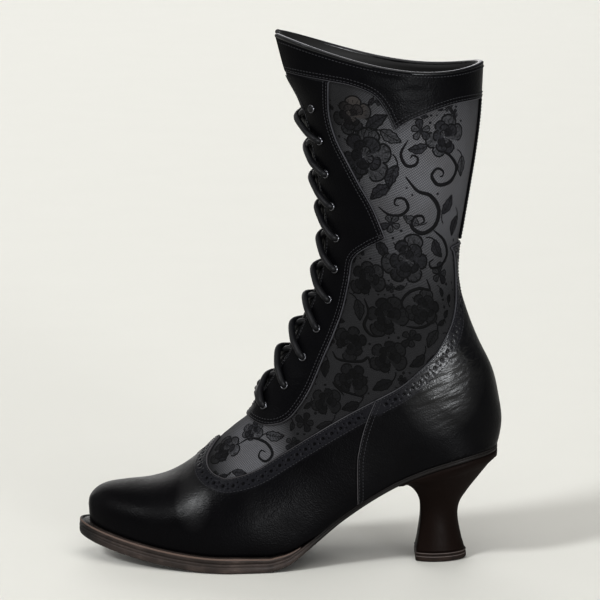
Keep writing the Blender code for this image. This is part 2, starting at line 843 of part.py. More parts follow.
def make_heel(material):
    """Curved heel block under the heel seat."""
    levels = []
    for front_x, front_z, back_x, back_z, half in HEEL_SECTIONS:
        levels.append([(blend(front_x, back_x, h), half * heel_outline(h), blend(front_z, back_z, h))
                       for h in heel_shares()])
    margin = sole_margin(HEEL_X)
    tail = HEEL_X + HEEL_LENGTH + margin
    seat = []
    for h in heel_shares():
        x = blend(HEEL_SEAT_FROM, tail, h)
        half = plan_half(x, sole_margin(x))
        seat.append((x, half if h < 1.0 else 0.0, sole_under(x) - GAP))
    under = []
    for h in heel_shares():
        x = blend(HEEL_SEAT_FROM + HEEL_LIP, tail - 0.4, h)
        half = plan_half(min(x, tail - 0.4), sole_margin(x)) * blend(0.94, 0.985, ease(h * 4.0))
        under.append((x, half if h < 1.0 else 0.0, sole_under(x) - GAP - blend(1.0, 3.2, ease(h * 3.0))))
    levels.append(under)
    levels.append(seat)
    return stack("heel", levels, material)


def make_top_piece(material):
    """Rubber piece under the heel, with a stepped side."""
    front_x, _, back_x, _, half = HEEL_SECTIONS[0]
    levels = []
    for z, inset in LIFT_STEPS:
        grow = LIFT_GROW - inset
        levels.append([(blend(front_x - grow * 0.6, back_x + grow, h), (half + grow) * heel_outline(h), z)
                       for h in heel_shares()])
    return stack("heel_top_piece", levels, material)


def eyelet_places():
    """The (v, q) of each eyelet, spaced evenly up the facing."""
    low = find(COLUMNS[3], EYELET_LOW, 9.0, float(LAST_ROW))
    high = find(COLUMNS[3], EYELET_HIGH, 9.0, float(LAST_ROW))
    marks = [low + (high - low) * i / 200.0 for i in range(201)]
    runs = [0.0]
    for a, b in zip(marks, marks[1:]):
        runs.append(runs[-1] + (surface(b, q_throat(b), -1) - surface(a, q_throat(a), -1)).length)
    places = []
    for i in range(EYELET_ROWS):
        target = runs[-1] * i / (EYELET_ROWS - 1)
        k = min(range(len(runs)), key=lambda n: abs(runs[n] - target))
        v = marks[k]
        places.append((v, q_at_width(v, throat_half(v) + EYELET_INSET)))
    return places


def make_eyelets(places, material):
    """Metal rings on the facings."""
    lift = GAP + OVERLAY_WALL + 0.45 + EYELET_WIRE
    for side, word in ((-1, "outer"), (1, "inner")):
        for number, (v, q) in enumerate(places, start=1):
            bpy.ops.mesh.primitive_torus_add(
                major_radius=EYELET_RING * MM,
                minor_radius=EYELET_WIRE * MM,
                major_segments=8,
                minor_segments=3,
            )
            ring = bpy.context.object
            ring.name = "eyelet_%s_%02d" % (word, number)
            ring.data.name = ring.name
            ring.data.materials.append(material)
            out = outward(v, q, side)
            ring.location = (surface(v, q, side) + out * lift) * MM
            ring.rotation_mode = "QUATERNION"
            ring.rotation_quaternion = out.to_track_quat("Z", "Y")
            for home in list(ring.users_collection):
                home.objects.unlink(ring)
            parts.objects.link(ring)
            ring.parent = root


def cord(name, points):
    """Round cord through points, as a curve."""
    curve = bpy.data.curves.new(name, "CURVE")
    curve.dimensions = "3D"
    curve.bevel_depth = LACE_RADIUS * MM
    curve.bevel_resolution = 1
    curve.use_fill_caps = True
    spline = curve.splines.new("POLY")
    spline.points.add(len(points) - 1)
    for spot, point in zip(spline.points, points):
        spot.co = (point.x * MM, point.y * MM, point.z * MM, 1.0)
    return bpy.data.objects.new(name, curve)


def as_mesh(thing, name):
    """Mesh object made from a curve object."""
    graph = bpy.context.evaluated_depsgraph_get()
    mesh = bpy.data.meshes.new_from_object(thing.evaluated_get(graph))
    mesh.name = name
    made = bpy.data.objects.new(name, mesh)
    return made


def lace_strand(places, row, side, over):
    """Strand that leaves an eyelet, crosses the throat and ends under the other facing."""
    v0, q0 = places[row]
    v1 = places[row + 1][0]
    base = GAP + OVERLAY_WALL + 2.0 * EYELET_WIRE + 0.8 + LACE_RADIUS
    mid_v = blend(v0, v1, 0.52)
    far_v = blend(v0, v1, 0.74)
    height = LACE_LIFT + (1.7 * LACE_RADIUS if over else 0.0)
    low = 0.8 if over else 0.2
    if row == 0:
        height -= LACE_DROP
        low -= LACE_DROP
        edge_v = blend(v0, v1, 0.34)
        points = [standing(edge_v, q_at_width(edge_v, throat_half(edge_v) * 0.45), side, low)]
    else:
        edge_v = blend(v0, v1, 0.22)
        points = [standing(v0, q0, side, base), standing(edge_v, q_throat(edge_v), side, base)]
    points.append(standing(mid_v, 1.0, side, height))
    points.append(standing(far_v, q_at_width(far_v, throat_half(far_v) * 0.45), -side, low))
    return points


def lace_bar(places):
    """Straight strand between the two lowest eyelets."""
    v, q = places[0]
    base = GAP + OVERLAY_WALL + 2.0 * EYELET_WIRE + 0.8 + LACE_RADIUS
    edge = q_throat(v)
    return [
        standing(v, q, -1, base),
        standing(v, edge, -1, base),
        standing(v, 1.0, -1, LACE_LIFT + LACE_RADIUS),
        standing(v, edge, 1, base),
        standing(v, q, 1, base),
    ]


def keep_cord(thing, material):
    """Put a finished lace piece with the other parts."""
    thing.data.materials.clear()
    thing.data.materials.append(material)
    parts.objects.link(thing)
    thing.parent = root


def make_lace(places, material):
    """Bottom bar and the crossings above it."""
    bar = cord("lace_bar_curve", lace_bar(places))
    cutters.objects.link(bar)
    keep_cord(as_mesh(bar, "lace_bar"), material)
    bpy.data.objects.remove(bar)
    for row in range(EYELET_ROWS - 1):
        name = "lace_crossing_%02d" % (row + 1)
        first = cord(name + "_under_curve", lace_strand(places, row, 1, False))
        second = cord(name + "_over_curve", lace_strand(places, row, -1, True))
        cutters.objects.link(first)
        cutters.objects.link(second)
        under = as_mesh(first, name)
        over = as_mesh(second, name + "_over")
        bpy.data.objects.remove(first)
        bpy.data.objects.remove(second)
        cutters.objects.link(over)
        over.hide_render = True
        over.display_type = "WIRE"
        over.parent = root
        keep_cord(under, material)
        join = under.modifiers.new("join", "BOOLEAN")
        join.operation = "UNION"
        join.solver = "EXACT"
        join.object = over


def centre_on_floor():
    """Move the boot so that its box stands on the floor about the origin."""
    bpy.context.view_layer.update()
    graph = bpy.context.evaluated_depsgraph_get()
    corners = []
    for part in [thing for thing in parts.objects if thing.type == "MESH"]:
        shape = part.evaluated_get(graph)
        mesh = shape.to_mesh()
        corners += [part.matrix_world @ vert.co for vert in mesh.vertices]
        shape.to_mesh_clear()
    for axis in (0, 1):
        low = min(corner[axis] for corner in corners)
        high = max(corner[axis] for corner in corners)
        root.location[axis] -= (low + high) / 2.0
    root.location.z -= min(corner.z for corner in corners)


def build():
    """Make every piece."""
    black = leather("black_leather", (0.012, 0.012, 0.013), 0.42)
    sole_edge = leather("sole_leather", (0.16, 0.13, 0.11), 0.6)
    welt_edge = leather("welt_leather", (0.30, 0.26, 0.22), 0.6)
    rubber = leather("heel_rubber", (0.10, 0.065, 0.045), 0.7)
    lining = leather("lining_leather", (0.20, 0.13, 0.08), 0.7)
    metal = leather("eyelet_metal", (0.62, 0.61, 0.60), 0.3, 1.0)
    cord_black = leather("lace_cord", (0.014, 0.014, 0.015), 0.6)
    make_outsole(sole_edge)
    make_welt(welt_edge)
    make_insole(lining)
    make_heel(black)
    make_top_piece(rubber)
    make_upper()
    make_tongue(black)
    make_vamp(black)
    make_counter(black)
    make_eyestay(black)
    make_cuff(black)
    make_back_strip(black)
    places = eyelet_places()
    make_eyelets(places, metal)
    make_lace(places, cord_black)
    centre_on_floor()


for thing in list(bpy.data.objects):
    bpy.data.objects.remove(thing)
parts = bpy.data.collections.new("lace_up_boot")
bpy.context.scene.collection.children.link(parts)
cutters = bpy.data.collections.new("cutters")
bpy.context.scene.collection.children.link(cutters)
root = bpy.data.objects.new("boot", None)
parts.objects.link(root)
build()
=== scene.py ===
"""Looks of a left lace-up boot: leather panels, floral lace over net, cord lacing, worn sole.

The boot's own sizes are in millimetres: x runs back from the toe, y from the outer side (minus)
to the inner side (plus), z up from the floor. The upper is one function of two numbers: v runs
from the toe to the collar, and q runs round each half section from the sole or the back seam (-1)
over the widest line (0) to the instep ridge (1).
"""
import math

import bmesh
import bpy
import numpy as np
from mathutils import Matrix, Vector
from mathutils.geometry import delaunay_2d_cdt

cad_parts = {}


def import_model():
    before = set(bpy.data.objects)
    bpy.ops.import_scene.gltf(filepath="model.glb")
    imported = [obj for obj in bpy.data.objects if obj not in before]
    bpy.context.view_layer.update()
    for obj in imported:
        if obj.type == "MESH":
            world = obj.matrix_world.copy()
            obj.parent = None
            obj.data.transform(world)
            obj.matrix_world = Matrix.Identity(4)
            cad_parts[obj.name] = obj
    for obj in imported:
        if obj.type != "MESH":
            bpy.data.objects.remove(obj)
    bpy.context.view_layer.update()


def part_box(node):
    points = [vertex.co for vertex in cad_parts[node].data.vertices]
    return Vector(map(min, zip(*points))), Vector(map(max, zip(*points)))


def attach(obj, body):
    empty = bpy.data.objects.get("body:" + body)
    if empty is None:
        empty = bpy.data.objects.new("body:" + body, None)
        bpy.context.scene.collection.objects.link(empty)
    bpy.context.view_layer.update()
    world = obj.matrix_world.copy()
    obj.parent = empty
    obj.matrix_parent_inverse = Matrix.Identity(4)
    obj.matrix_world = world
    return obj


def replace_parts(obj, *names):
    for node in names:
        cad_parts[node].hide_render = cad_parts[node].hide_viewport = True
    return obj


bl_info = {
    "name": "Lace-up boot looks",
    "version": (1, 0, 0),
    "blender": (4, 5, 0),
    "location": "View3D > Sidebar > Boot",
    "description": "Dresses the boot's solids in leather, lace, cord and a worn sole",
    "category": "Object",
}

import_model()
MM = 0.001

# Walls and gaps of the pieces
GAP = 0.35
UPPER_WALL = 1.8
OVERLAY_WALL = 1.2
TONGUE_WALL = 1.6
TONGUE_CLEAR = 1.9

# Plan of the lasted edge
BALL_X = 90.0
BALL_HALF = 37.0
TOE_LENGTH = 84.5
TOE_POWER = 1.55
HEEL_X = 222.0
HEEL_HALF = 26.5
HEEL_LENGTH = 30.8
# rows: x, half width
WAIST_HALF = ((BALL_X, BALL_HALF), (122.0, 32.6), (162.0, 25.0), (195.0, 25.4), (HEEL_X, HEEL_HALF))
# rows: x, sideways shift of the middle
PLAN_MIDDLE = (
    (0.0, 6.0),
    (45.0, 2.0),
    (90.0, -1.5),
    (130.0, -2.5),
    (165.0, -1.8),
    (200.0, 0.0),
    (260.0, 0.0),
)

# Sole, seen from the side
TOE_SPRING = 13.2
TOE_SPRING_POWER = 1.7
FLAT_FROM = 84.0
FLAT_TO = 116.0
# rows: x, height of the underside
WAIST_RISE = (
    (FLAT_TO, 0.0),
    (125.0, 2.6),
    (141.0, 13.6),
    (161.0, 29.6),
    (180.0, 42.6),
    (197.0, 51.8),
    (222.0, 61.4),
    (240.0, 66.0),
    (256.0, 68.4),
)
# rows: x, thickness
OUTSOLE_WALL = ((0.0, 6.0), (110.0, 6.0), (150.0, 4.4), (200.0, 3.4), (256.0, 3.4))
# rows: x, how far the outsole stands out from the lasted edge
SOLE_MARGIN = ((0.0, 5.5), (104.0, 5.5), (132.0, 3.2), (150.0, 0.6), (200.0, 1.6), (256.0, 1.6))
WELT_WALL = 3.0
WELT_FADE_FROM = 118.0
WELT_FADE_TO = 152.0
WELT_END = 134.0
WELT_EASE = 0.7
WELT_INSET = 2.6
WELT_STEP = 0.3
SOLE_TIP = 2.6
INSOLE_INSET = 3.1
INSOLE_WALL = 3.2
TOE_CLEAR = 0.4

# Sections of the upper, each between a low or back point and a front point
# columns: back_x, back_z, front_x, front_z, half, wide_at, low_power, top_power, ridge_y, dip
SECTIONS = (
    (5.5, None, 4.7, 31.5, 0.0, 0.44, 2.0, 2.2, 6.0, 0.0),
    (6.5, None, 5.6, 36.2, 9.0, 0.42, 2.0, 2.2, 6.0, 0.0),
    (9.5, None, 9.3, 40.4, 13.8, 0.40, 2.0, 2.2, 6.0, 0.0),
    (16.0, None, 16.0, 43.3, 19.6, 0.38, 2.0, 2.2, 5.8, 0.0),
    (27.0, None, 27.0, 44.8, 25.8, 0.36, 2.0, 2.2, 5.4, 0.0),
    (42.0, None, 42.0, 46.4, 31.6, 0.34, 2.0, 2.2, 5.0, 0.0),
    (57.0, None, 55.0, 50.6, 35.8, 0.32, 2.0, 2.1, 4.6, 0.0),
    (72.0, None, 68.0, 58.8, 38.8, 0.29, 2.0, 2.0, 4.2, 0.0),
    (88.0, None, 81.0, 70.8, 40.4, 0.26, 2.0, 1.9, 3.8, 0.0),
    (104.0, None, 93.0, 81.4, 39.6, 0.25, 2.0, 1.85, 3.4, 0.0),
    (120.0, None, 102.6, 89.4, 36.6, 0.25, 2.0, 1.85, 3.0, 0.0),
    (137.0, None, 108.6, 99.4, 33.2, 0.27, 2.0, 1.9, 2.5, 0.0),
    (155.0, None, 114.2, 111.0, 30.6, 0.31, 2.0, 1.95, 2.0, 0.0),
    (175.0, None, 120.4, 122.5, 30.2, 0.37, 2.0, 2.0, 1.4, 0.0),
    (198.0, None, 127.0, 132.5, 30.8, 0.42, 2.0, 2.0, 0.9, 0.0),
    (222.0, None, 132.6, 144.5, 31.6, 0.46, 2.0, 2.0, 0.4, 0.0),
    (242.0, None, 137.6, 156.0, 32.3, 0.50, 2.0, 2.0, 0.2, 0.0),
    (250.0, None, 139.6, 161.0, 32.6, 0.51, 2.05, 2.0, 0.1, 0.0),
    (252.8, None, 141.3, 165.0, 32.8, 0.52, 2.1, 2.0, 0.0, 0.0),
    (255.2, 86.0, 144.2, 173.5, 33.0, 0.53, 2.15, 2.0, 0.0, 0.0),
    (253.3, 101.0, 146.8, 185.0, 33.0, 0.53, 2.15, 2.0, 0.0, 0.0),
    (249.2, 118.0, 148.2, 197.0, 33.0, 0.52, 2.15, 2.0, 0.0, 0.0),
    (240.3, 136.5, 148.3, 208.5, 32.8, 0.51, 2.1, 2.0, 0.0, 0.0),
    (233.2, 154.5, 147.0, 219.5, 32.6, 0.50, 2.05, 2.0, 0.0, 0.0),
    (228.4, 172.0, 145.0, 229.5, 32.9, 0.50, 2.0, 2.0, 0.0, 0.0),
    (228.2, 189.0, 142.9, 239.0, 33.7, 0.50, 2.0, 2.0, 0.0, 0.0),
    (231.2, 208.0, 140.7, 249.5, 35.0, 0.50, 2.0, 2.0, 0.0, 0.0),
    (234.6, 229.5, 138.3, 260.5, 36.6, 0.50, 2.0, 2.0, 0.0, 0.0),
    (238.0, 252.0, 135.7, 271.5, 38.2, 0.50, 2.0, 2.0, 0.0, 0.0),
    (240.4, 273.0, 131.8, 283.0, 39.2, 0.50, 2.0, 2.05, 0.0, 1.5),
    (241.2, 289.0, 123.4, 299.5, 39.7, 0.50, 2.0, 2.1, 0.0, 5.5),
    (241.8, 305.0, 116.6, 323.4, 40.0, 0.50, 2.0, 2.1, 0.0, 10.0),
)
SEAT_ROW = 18
LAST_ROW = len(SECTIONS) - 1
CUP_FROM = 11.5
CUP_RUN = 3.0

# Throat, between the two rows of eyelets
THROAT_LOW = 95.0
THROAT_ROUND = 24.0
THROAT_HALF = 9.0
THROAT_SPREAD = 5.0

# Seam lines drawn on the side view: rows of x and z
VAMP_TOP = (
    (87.6, 80.0),
    (85.6, 75.2),
    (82.4, 71.6),
    (79.4, 67.8),
    (77.7, 64.4),
    (78.2, 60.9),
    (81.0, 57.9),
    (85.4, 56.2),
    (91.6, 55.8),
    (107.0, 60.6),
    (121.0, 69.2),
    (138.0, 80.3),
    (151.0, 88.6),
    (165.0, 97.0),
    (178.8, 104.6),
)
SIDE_SEAM = ((178.8, 104.6), (174.8, 95.0), (171.4, 84.5), (169.0, 74.0), (167.8, 62.0), (168.2, 20.0))
COUNTER_TOP = (
    (178.8, 104.6),
    (193.6, 113.0),
    (205.0, 122.8),
    (214.4, 132.6),
    (220.0, 142.0),
    (224.2, 151.0),
    (226.2, 160.0),
    (226.6, 170.0),
    (226.2, 182.0),
    (225.0, 191.0),
    (223.4, 195.0),
    (230.0, 196.6),
    (240.0, 197.0),
)
COUNTER_BACK_Z = 198.0
CUFF_LOW = (
    (105.0, 303.4),
    (133.6, 299.0),
    (150.6, 296.6),
    (163.5, 294.2),
    (175.8, 289.3),
    (183.0, 281.0),
    (189.3, 268.0),
    (196.0, 272.6),
    (205.0, 276.6),
    (217.0, 280.6),
    (230.0, 283.2),
    (256.0, 284.0),
)
CUFF_POINT = 6
CUFF_BACK_Z = 283.6
EYESTAY_REAR = (
    (150.8, 302.0),
    (150.8, 284.0),
    (152.0, 273.0),
    (155.6, 261.4),
    (161.6, 249.4),
    (169.2, 235.0),
    (177.0, 221.0),
    (184.4, 203.0),
    (174.0, 197.0),
    (165.6, 189.0),
    (163.0, 174.0),
    (159.6, 158.6),
    (154.4, 143.4),
    (148.4, 129.4),
    (140.2, 110.0),
    (132.6, 97.6),
    (126.0, 90.4),
    (117.0, 86.6),
    (107.0, 86.8),
    (90.0, 92.0),
)
EYESTAY_POINT = 7
BACK_STRIP_HALF = 6.0

# Lacing
EYELET_ROWS = 11
EYELET_LOW = 103.0
EYELET_HIGH = 280.0
EYELET_INSET = 8.5

# Heel, front and back points of each tilted section, and half width
# columns: front_x, front_z, back_x, back_z, half
HEEL_SECTIONS = (
    (204.9, 5.7, 235.0, 5.7, 14.4),
    (206.3, 14.0, 232.6, 14.0, 12.8),
    (207.6, 25.0, 230.5, 26.0, 11.8),
    (207.4, 33.5, 231.6, 34.5, 12.6),
    (205.6, 41.0, 236.4, 42.5, 15.4),
    (202.2, 46.5, 243.2, 51.5, 19.6),
    (198.4, 49.6, 249.6, 59.8, 24.0),
)
HEEL_SEAT_FROM = 193.6
HEEL_LIP = 2.4
HEEL_WIDE_AT = 0.32
HEEL_BREAST = 0.80
LIFT_TOP = 5.35
LIFT_GROW = 0.9

# Soft folds of the upper on the side view
# columns: x, z, turn in degrees, half length, half width, depth
FOLDS = (
    (186.0, 298.0, -12.0, 16.0, 2.4, 0.45),
    (198.0, 291.0, -6.0, 14.0, 2.2, 0.35),
    (176.0, 186.0, 24.0, 26.0, 5.0, 0.7),
    (196.0, 160.0, 30.0, 24.0, 5.5, 0.6),
    (170.0, 140.0, 32.0, 24.0, 5.0, 0.7),
    (206.0, 196.0, 18.0, 20.0, 5.0, 0.5),
    (216.0, 128.0, 28.0, 14.0, 1.1, 0.22),
    (219.0, 122.0, 24.0, 16.0, 1.0, 0.20),
    (214.0, 117.0, 20.0, 18.0, 1.2, 0.24),
    (220.0, 111.0, 17.0, 17.0, 1.0, 0.18),
    (212.0, 107.0, 14.0, 18.0, 1.1, 0.20),
    (226.0, 104.0, 10.0, 14.0, 1.2, 0.16),
    (205.0, 101.0, 12.0, 16.0, 1.2, 0.16),
)
# Waver of a fold along its run, and the swollen ridge on each side of it
FOLD_WAVER = 0.12
FOLD_WAVES = 0.35
FOLD_RIDGE = 0.55
FOLD_RIDGE_AT = 1.9

# How near to a line where the two halves meet a place counts as on it
ON_SEAM = 0.0001
TINY = 1e-9


def blend(a, b, t):
    """Value between a and b."""
    return a + (b - a) * t


def ease(t):
    """Smooth step from 0 to 1."""
    t = np.clip(t, 0.0, 1.0)
    return t * t * (3.0 - 2.0 * t)


def along(rows, x):
    """Smooth curve through rows of (position, value) that never swings past them."""
    at = np.array([row[0] for row in rows], float)
    value = np.array([row[1] for row in rows], float)
    slope = np.diff(value) / np.diff(at)
    product = slope[:-1] * slope[1:]
    total = slope[:-1] + slope[1:]
    inner = np.where(product > 0.0, 2.0 * product / np.where(total == 0.0, 1.0, total), 0.0)
    bend = np.concatenate([slope[:1], inner, slope[-1:]])
    x = np.clip(np.asarray(x, float), at[0], at[-1])
    i = np.clip(np.searchsorted(at, x, side="right") - 1, 0, len(at) - 2)
    span = at[i + 1] - at[i]
    t = (x - at[i]) / span
    start = (1.0 + 2.0 * t) * (1.0 - t) ** 2 * value[i] + t * (1.0 - t) ** 2 * span * bend[i]
    end = t * t * (3.0 - 2.0 * t) * value[i + 1] + t * t * (t - 1.0) * span * bend[i + 1]
    return start + end


def through(values, t):
    """Smooth curve through evenly numbered values, at positions t."""
    values = np.asarray(values, float)
    t = np.asarray(t, float)
    last = len(values) - 1
    i = np.clip(t.astype(int), 0, last - 1)
    f = t - i
    p1 = values[i]
    p2 = values[i + 1]
    p0 = np.where(i > 0, values[np.maximum(i - 1, 0)], 2.0 * p1 - p2)
    p3 = np.where(i + 2 <= last, values[np.minimum(i + 2, last)], 2.0 * p2 - p1)
    lift = (p2 - p0) + f * (2.0 * p0 - 5.0 * p1 + 4.0 * p2 - p3 + f * (3.0 * (p1 - p2) + p3 - p0))
    return p1 + 0.5 * f * lift


def unit(vectors):
    """Vectors brought to length one."""
    return vectors / np.maximum(np.linalg.norm(vectors, axis=-1, keepdims=True), TINY)


def lengths(points):
    """Length run from the first point to each point of a path."""
    return np.concatenate([[0.0], np.cumsum(np.linalg.norm(np.diff(points, axis=0), axis=1))])


def plan_half(x, margin=0.0, tip=0.0):
    """Half width of the lasted edge at x, grown by a margin all round and more at the tip."""
    x = np.asarray(x, float)
    toe = np.clip((BALL_X - x) / (TOE_LENGTH + margin + tip), 0.0, 1.0)
    heel = np.clip((x - HEEL_X) / (HEEL_LENGTH + margin), 0.0, 1.0)
    front = (BALL_HALF + margin) * np.sqrt(1.0 - toe ** TOE_POWER)
    back = (HEEL_HALF + margin) * np.sqrt(1.0 - heel * heel)
    return np.where(x < BALL_X, front, np.where(x > HEEL_X, back, along(WAIST_HALF, x) + margin))


def plan_middle(x):
    """Sideways shift of the middle of the sole at x."""
    return along(PLAN_MIDDLE, x)


def sole_margin(x):
    """How far the outsole stands out from the lasted edge at x."""
    return along(SOLE_MARGIN, x)


def sole_under(x):
    """Height of the underside of the outsole at x."""
    x = np.asarray(x, float)
    toe = TOE_SPRING * (np.maximum(FLAT_FROM - x, 0.0) / FLAT_FROM) ** TOE_SPRING_POWER
    return np.where(x < FLAT_FROM, toe, np.where(x > FLAT_TO, along(WAIST_RISE, x), 0.0))


def sole_top(x):
    """Height of the top of the outsole at x."""
    return sole_under(x) + along(OUTSOLE_WALL, x)


def welt_rise(x):
    """Height that the welt and its gap put under the upper at x."""
    fade = 1.0 - ease((np.asarray(x, float) - WELT_FADE_FROM) / (WELT_FADE_TO - WELT_FADE_FROM))
    return (WELT_WALL + GAP) * fade


def lasted_edge(x):
    """Height of the bottom edge of the upper at x."""
    clear = TOE_CLEAR * (1.0 - ease(np.asarray(x, float) / FLAT_FROM))
    return sole_top(x) + GAP + welt_rise(x) + clear


def column(number):
    """One column of the section table, with the standing heights filled in."""
    if number != 1:
        return np.array([row[number] for row in SECTIONS], float)
    return np.array([float(lasted_edge(row[0])) if row[1] is None else row[1] for row in SECTIONS])


COLUMNS = [column(number) for number in range(len(SECTIONS[0]))]
BACK_X, BACK_Z, FRONT_X, FRONT_Z, HALF, WIDE_AT, LOW_POWER, TOP_POWER, RIDGE_Y, DIP = COLUMNS


def dip_shape(h):
    """Sag of the collar line between back (0) and front (1), deepest behind the middle."""
    even_sag = 4.0 * h * (1.0 - h)
    back_sag = 6.75 * h * (1.0 - h) ** 2
    return 0.5 * (even_sag + back_sag)


def rise_and_width(v, q):
    """Share of the section's height, and half width, at each place (v, q)."""
    back_x, half, wide_at, low_power, top_power = [
        through(values, v) for values in (BACK_X, HALF, WIDE_AT, LOW_POWER, TOP_POWER)]
    foot = np.where(v < SEAT_ROW, plan_half(back_x), 0.0)
    angle = np.abs(q) * math.pi / 2.0
    spread = np.maximum(np.cos(angle), 0.0)
    high = wide_at + (1.0 - wide_at) * np.sin(angle) ** (2.0 / top_power)
    low = wide_at * (1.0 - np.sin(angle) ** (2.0 / low_power))
    low_width = foot + (half - foot) * spread ** (2.0 / low_power)
    share = ease((v - CUP_FROM) / CUP_RUN)
    edge = np.minimum(foot / np.maximum(half, 0.01), 0.98)
    full = np.arccos(edge ** (low_power / 2.0))
    cup = np.abs(q) * full
    cup_low = wide_at * (1.0 - (np.sin(cup) / np.sin(full)) ** (2.0 / low_power))
    cup_width = half * np.maximum(np.cos(cup), 0.0) ** (2.0 / low_power)
    low = blend(low, cup_low, share)
    low_width = blend(low_width, cup_width, share)
    front = q >= 0.0
    return np.where(front, high, low), np.where(front, half * spread ** (2.0 / top_power), low_width)


def side_view(v, h):
    """Side-view point of a section at a share of its height."""
    v = np.clip(v, 0.0, float(LAST_ROW))
    back_x = through(BACK_X, v)
    back_z = np.where(v < SEAT_ROW, lasted_edge(back_x), through(BACK_Z, v))
    x = blend(back_x, through(FRONT_X, v), h)
    z = blend(back_z, through(FRONT_Z, v), h) - through(DIP, v) * dip_shape(h)
    return np.stack([x, z], axis=-1)


def bare(v, q, side):
    """Point on the outside of the upper, before its folds."""
    h, width = rise_and_width(v, q)
    x, z = np.moveaxis(side_view(v, h), -1, 0)
    y = blend(plan_middle(through(BACK_X, v)), through(RIDGE_Y, v), h) + side * width
    return np.stack([x, y, z], axis=-1)


def outward(v, q, side):
    """Direction out of the upper, level or rising, and straight where the two halves meet."""
    step = 0.004
    seam = (q > 1.0 - ON_SEAM) | (v < ON_SEAM) | ((q < ON_SEAM - 1.0) & (v >= SEAT_ROW))
    q = np.maximum(q, -0.7 - 0.3 * ease((v - SEAT_ROW + 2.0) / 2.0))
    v0 = np.maximum(v - step, 0.0)
    v1 = np.minimum(v + step, float(LAST_ROW))
    v1 = np.where(v < SEAT_ROW, np.minimum(v1, SEAT_ROW - 1e-6), v1)
    run = bare(v1, q, side) - bare(v0, q, side)
    turn = bare(v, np.minimum(q + step, 1.0), side) - bare(v, np.maximum(q - step, -1.0), side)
    normal = np.cross(turn, run) * np.asarray(side)[..., None]
    normal[..., 2] = np.maximum(normal[..., 2], 0.0)
    normal[..., 1] = np.where(seam, 0.0, normal[..., 1])
    return unit(normal)


def folds(x, z):
    """Depth of the soft folds at points of the side view."""
    sunk = np.zeros_like(x)
    for at_x, at_z, turn, half_length, half_width, depth in FOLDS:
        level = math.cos(math.radians(turn))
        rise = math.sin(math.radians(turn))
        run = (x - at_x) * level + (z - at_z) * rise
        off = ((z - at_z) * level - (x - at_x) * rise) / half_width - FOLD_WAVER * np.sin(run * FOLD_WAVES)
        end = np.maximum(1.0 - (run / half_length) ** 2, 0.0) ** 2
        ridge = FOLD_RIDGE * np.exp(-(np.abs(off) - FOLD_RIDGE_AT) ** 2)
        sunk += depth * end * (np.exp(-off ** 2) - ridge)
    return sunk


def skin(v, q, side, lift=0.0):
    """Point at a distance outside the folded upper."""
    v = np.asarray(v, float)
    q = np.asarray(q, float)
    side = np.broadcast_to(np.asarray(side, float), v.shape)
    point = bare(v, q, side)
    sunk = folds(point[..., 0], point[..., 2])
    return point + outward(v, q, side) * (np.asarray(lift) - sunk)[..., None]


def find(values, target, low, high):
    """Position v between two rows where a column reaches the target."""
    rising = through(values, high) > through(values, low)
    for _ in range(50):
        middle = (low + high) / 2.0
        if (through(values, middle) < target) == rising:
            low = middle
        else:
            high = middle
    return (low + high) / 2.0


V_THROAT = find(FRONT_Z, THROAT_LOW, 9.0, 14.0)


def q_at_width(v, width):
    """Place q on the front of the section where it is this far from the ridge."""
    half = through(HALF, v)
    power = through(TOP_POWER, v)
    share = np.clip(width / np.maximum(half, 0.01), 0.0, 1.0)
    return np.arccos(share ** (power / 2.0)) / (math.pi / 2.0)


def q_at_back(v, width):
    """Place q on the back of a closed section where it is this far from the back seam."""
    half = through(HALF, v)
    power = through(LOW_POWER, v)
    return -np.arccos((width / half) ** (power / 2.0)) / (math.pi / 2.0)


def throat_half(v):
    """Half the gap between the facings."""
    height = np.maximum(through(FRONT_Z, v) - THROAT_LOW, 0.0)
    opening = THROAT_HALF * np.sqrt(np.minimum(height / THROAT_ROUND, 1.0))
    spread = THROAT_SPREAD * ease(height / (FRONT_Z[-1] - THROAT_LOW)) ** 2
    return np.where(np.asarray(v) <= V_THROAT, 0.0, opening + spread)


def q_throat(v):
    """Place q of the facing's edge."""
    return q_at_width(v, throat_half(v))


def on_back(z):
    """Place v of the back seam at this height."""
    return find(BACK_Z, z, float(SEAT_ROW), float(LAST_ROW))


def smooth(points, corner=None, steps=12):
    """Points of a smooth line through drawn points; a corner stays sharp."""
    if corner is not None:
        before = smooth(points[:corner + 1], None, steps)
        return np.concatenate([before, smooth(points[corner:], None, steps)[1:]])
    points = np.asarray(points, float)
    t = np.arange((len(points) - 1) * steps + 1) / steps
    return np.stack([through(points[:, 0], t), through(points[:, 1], t)], axis=-1)


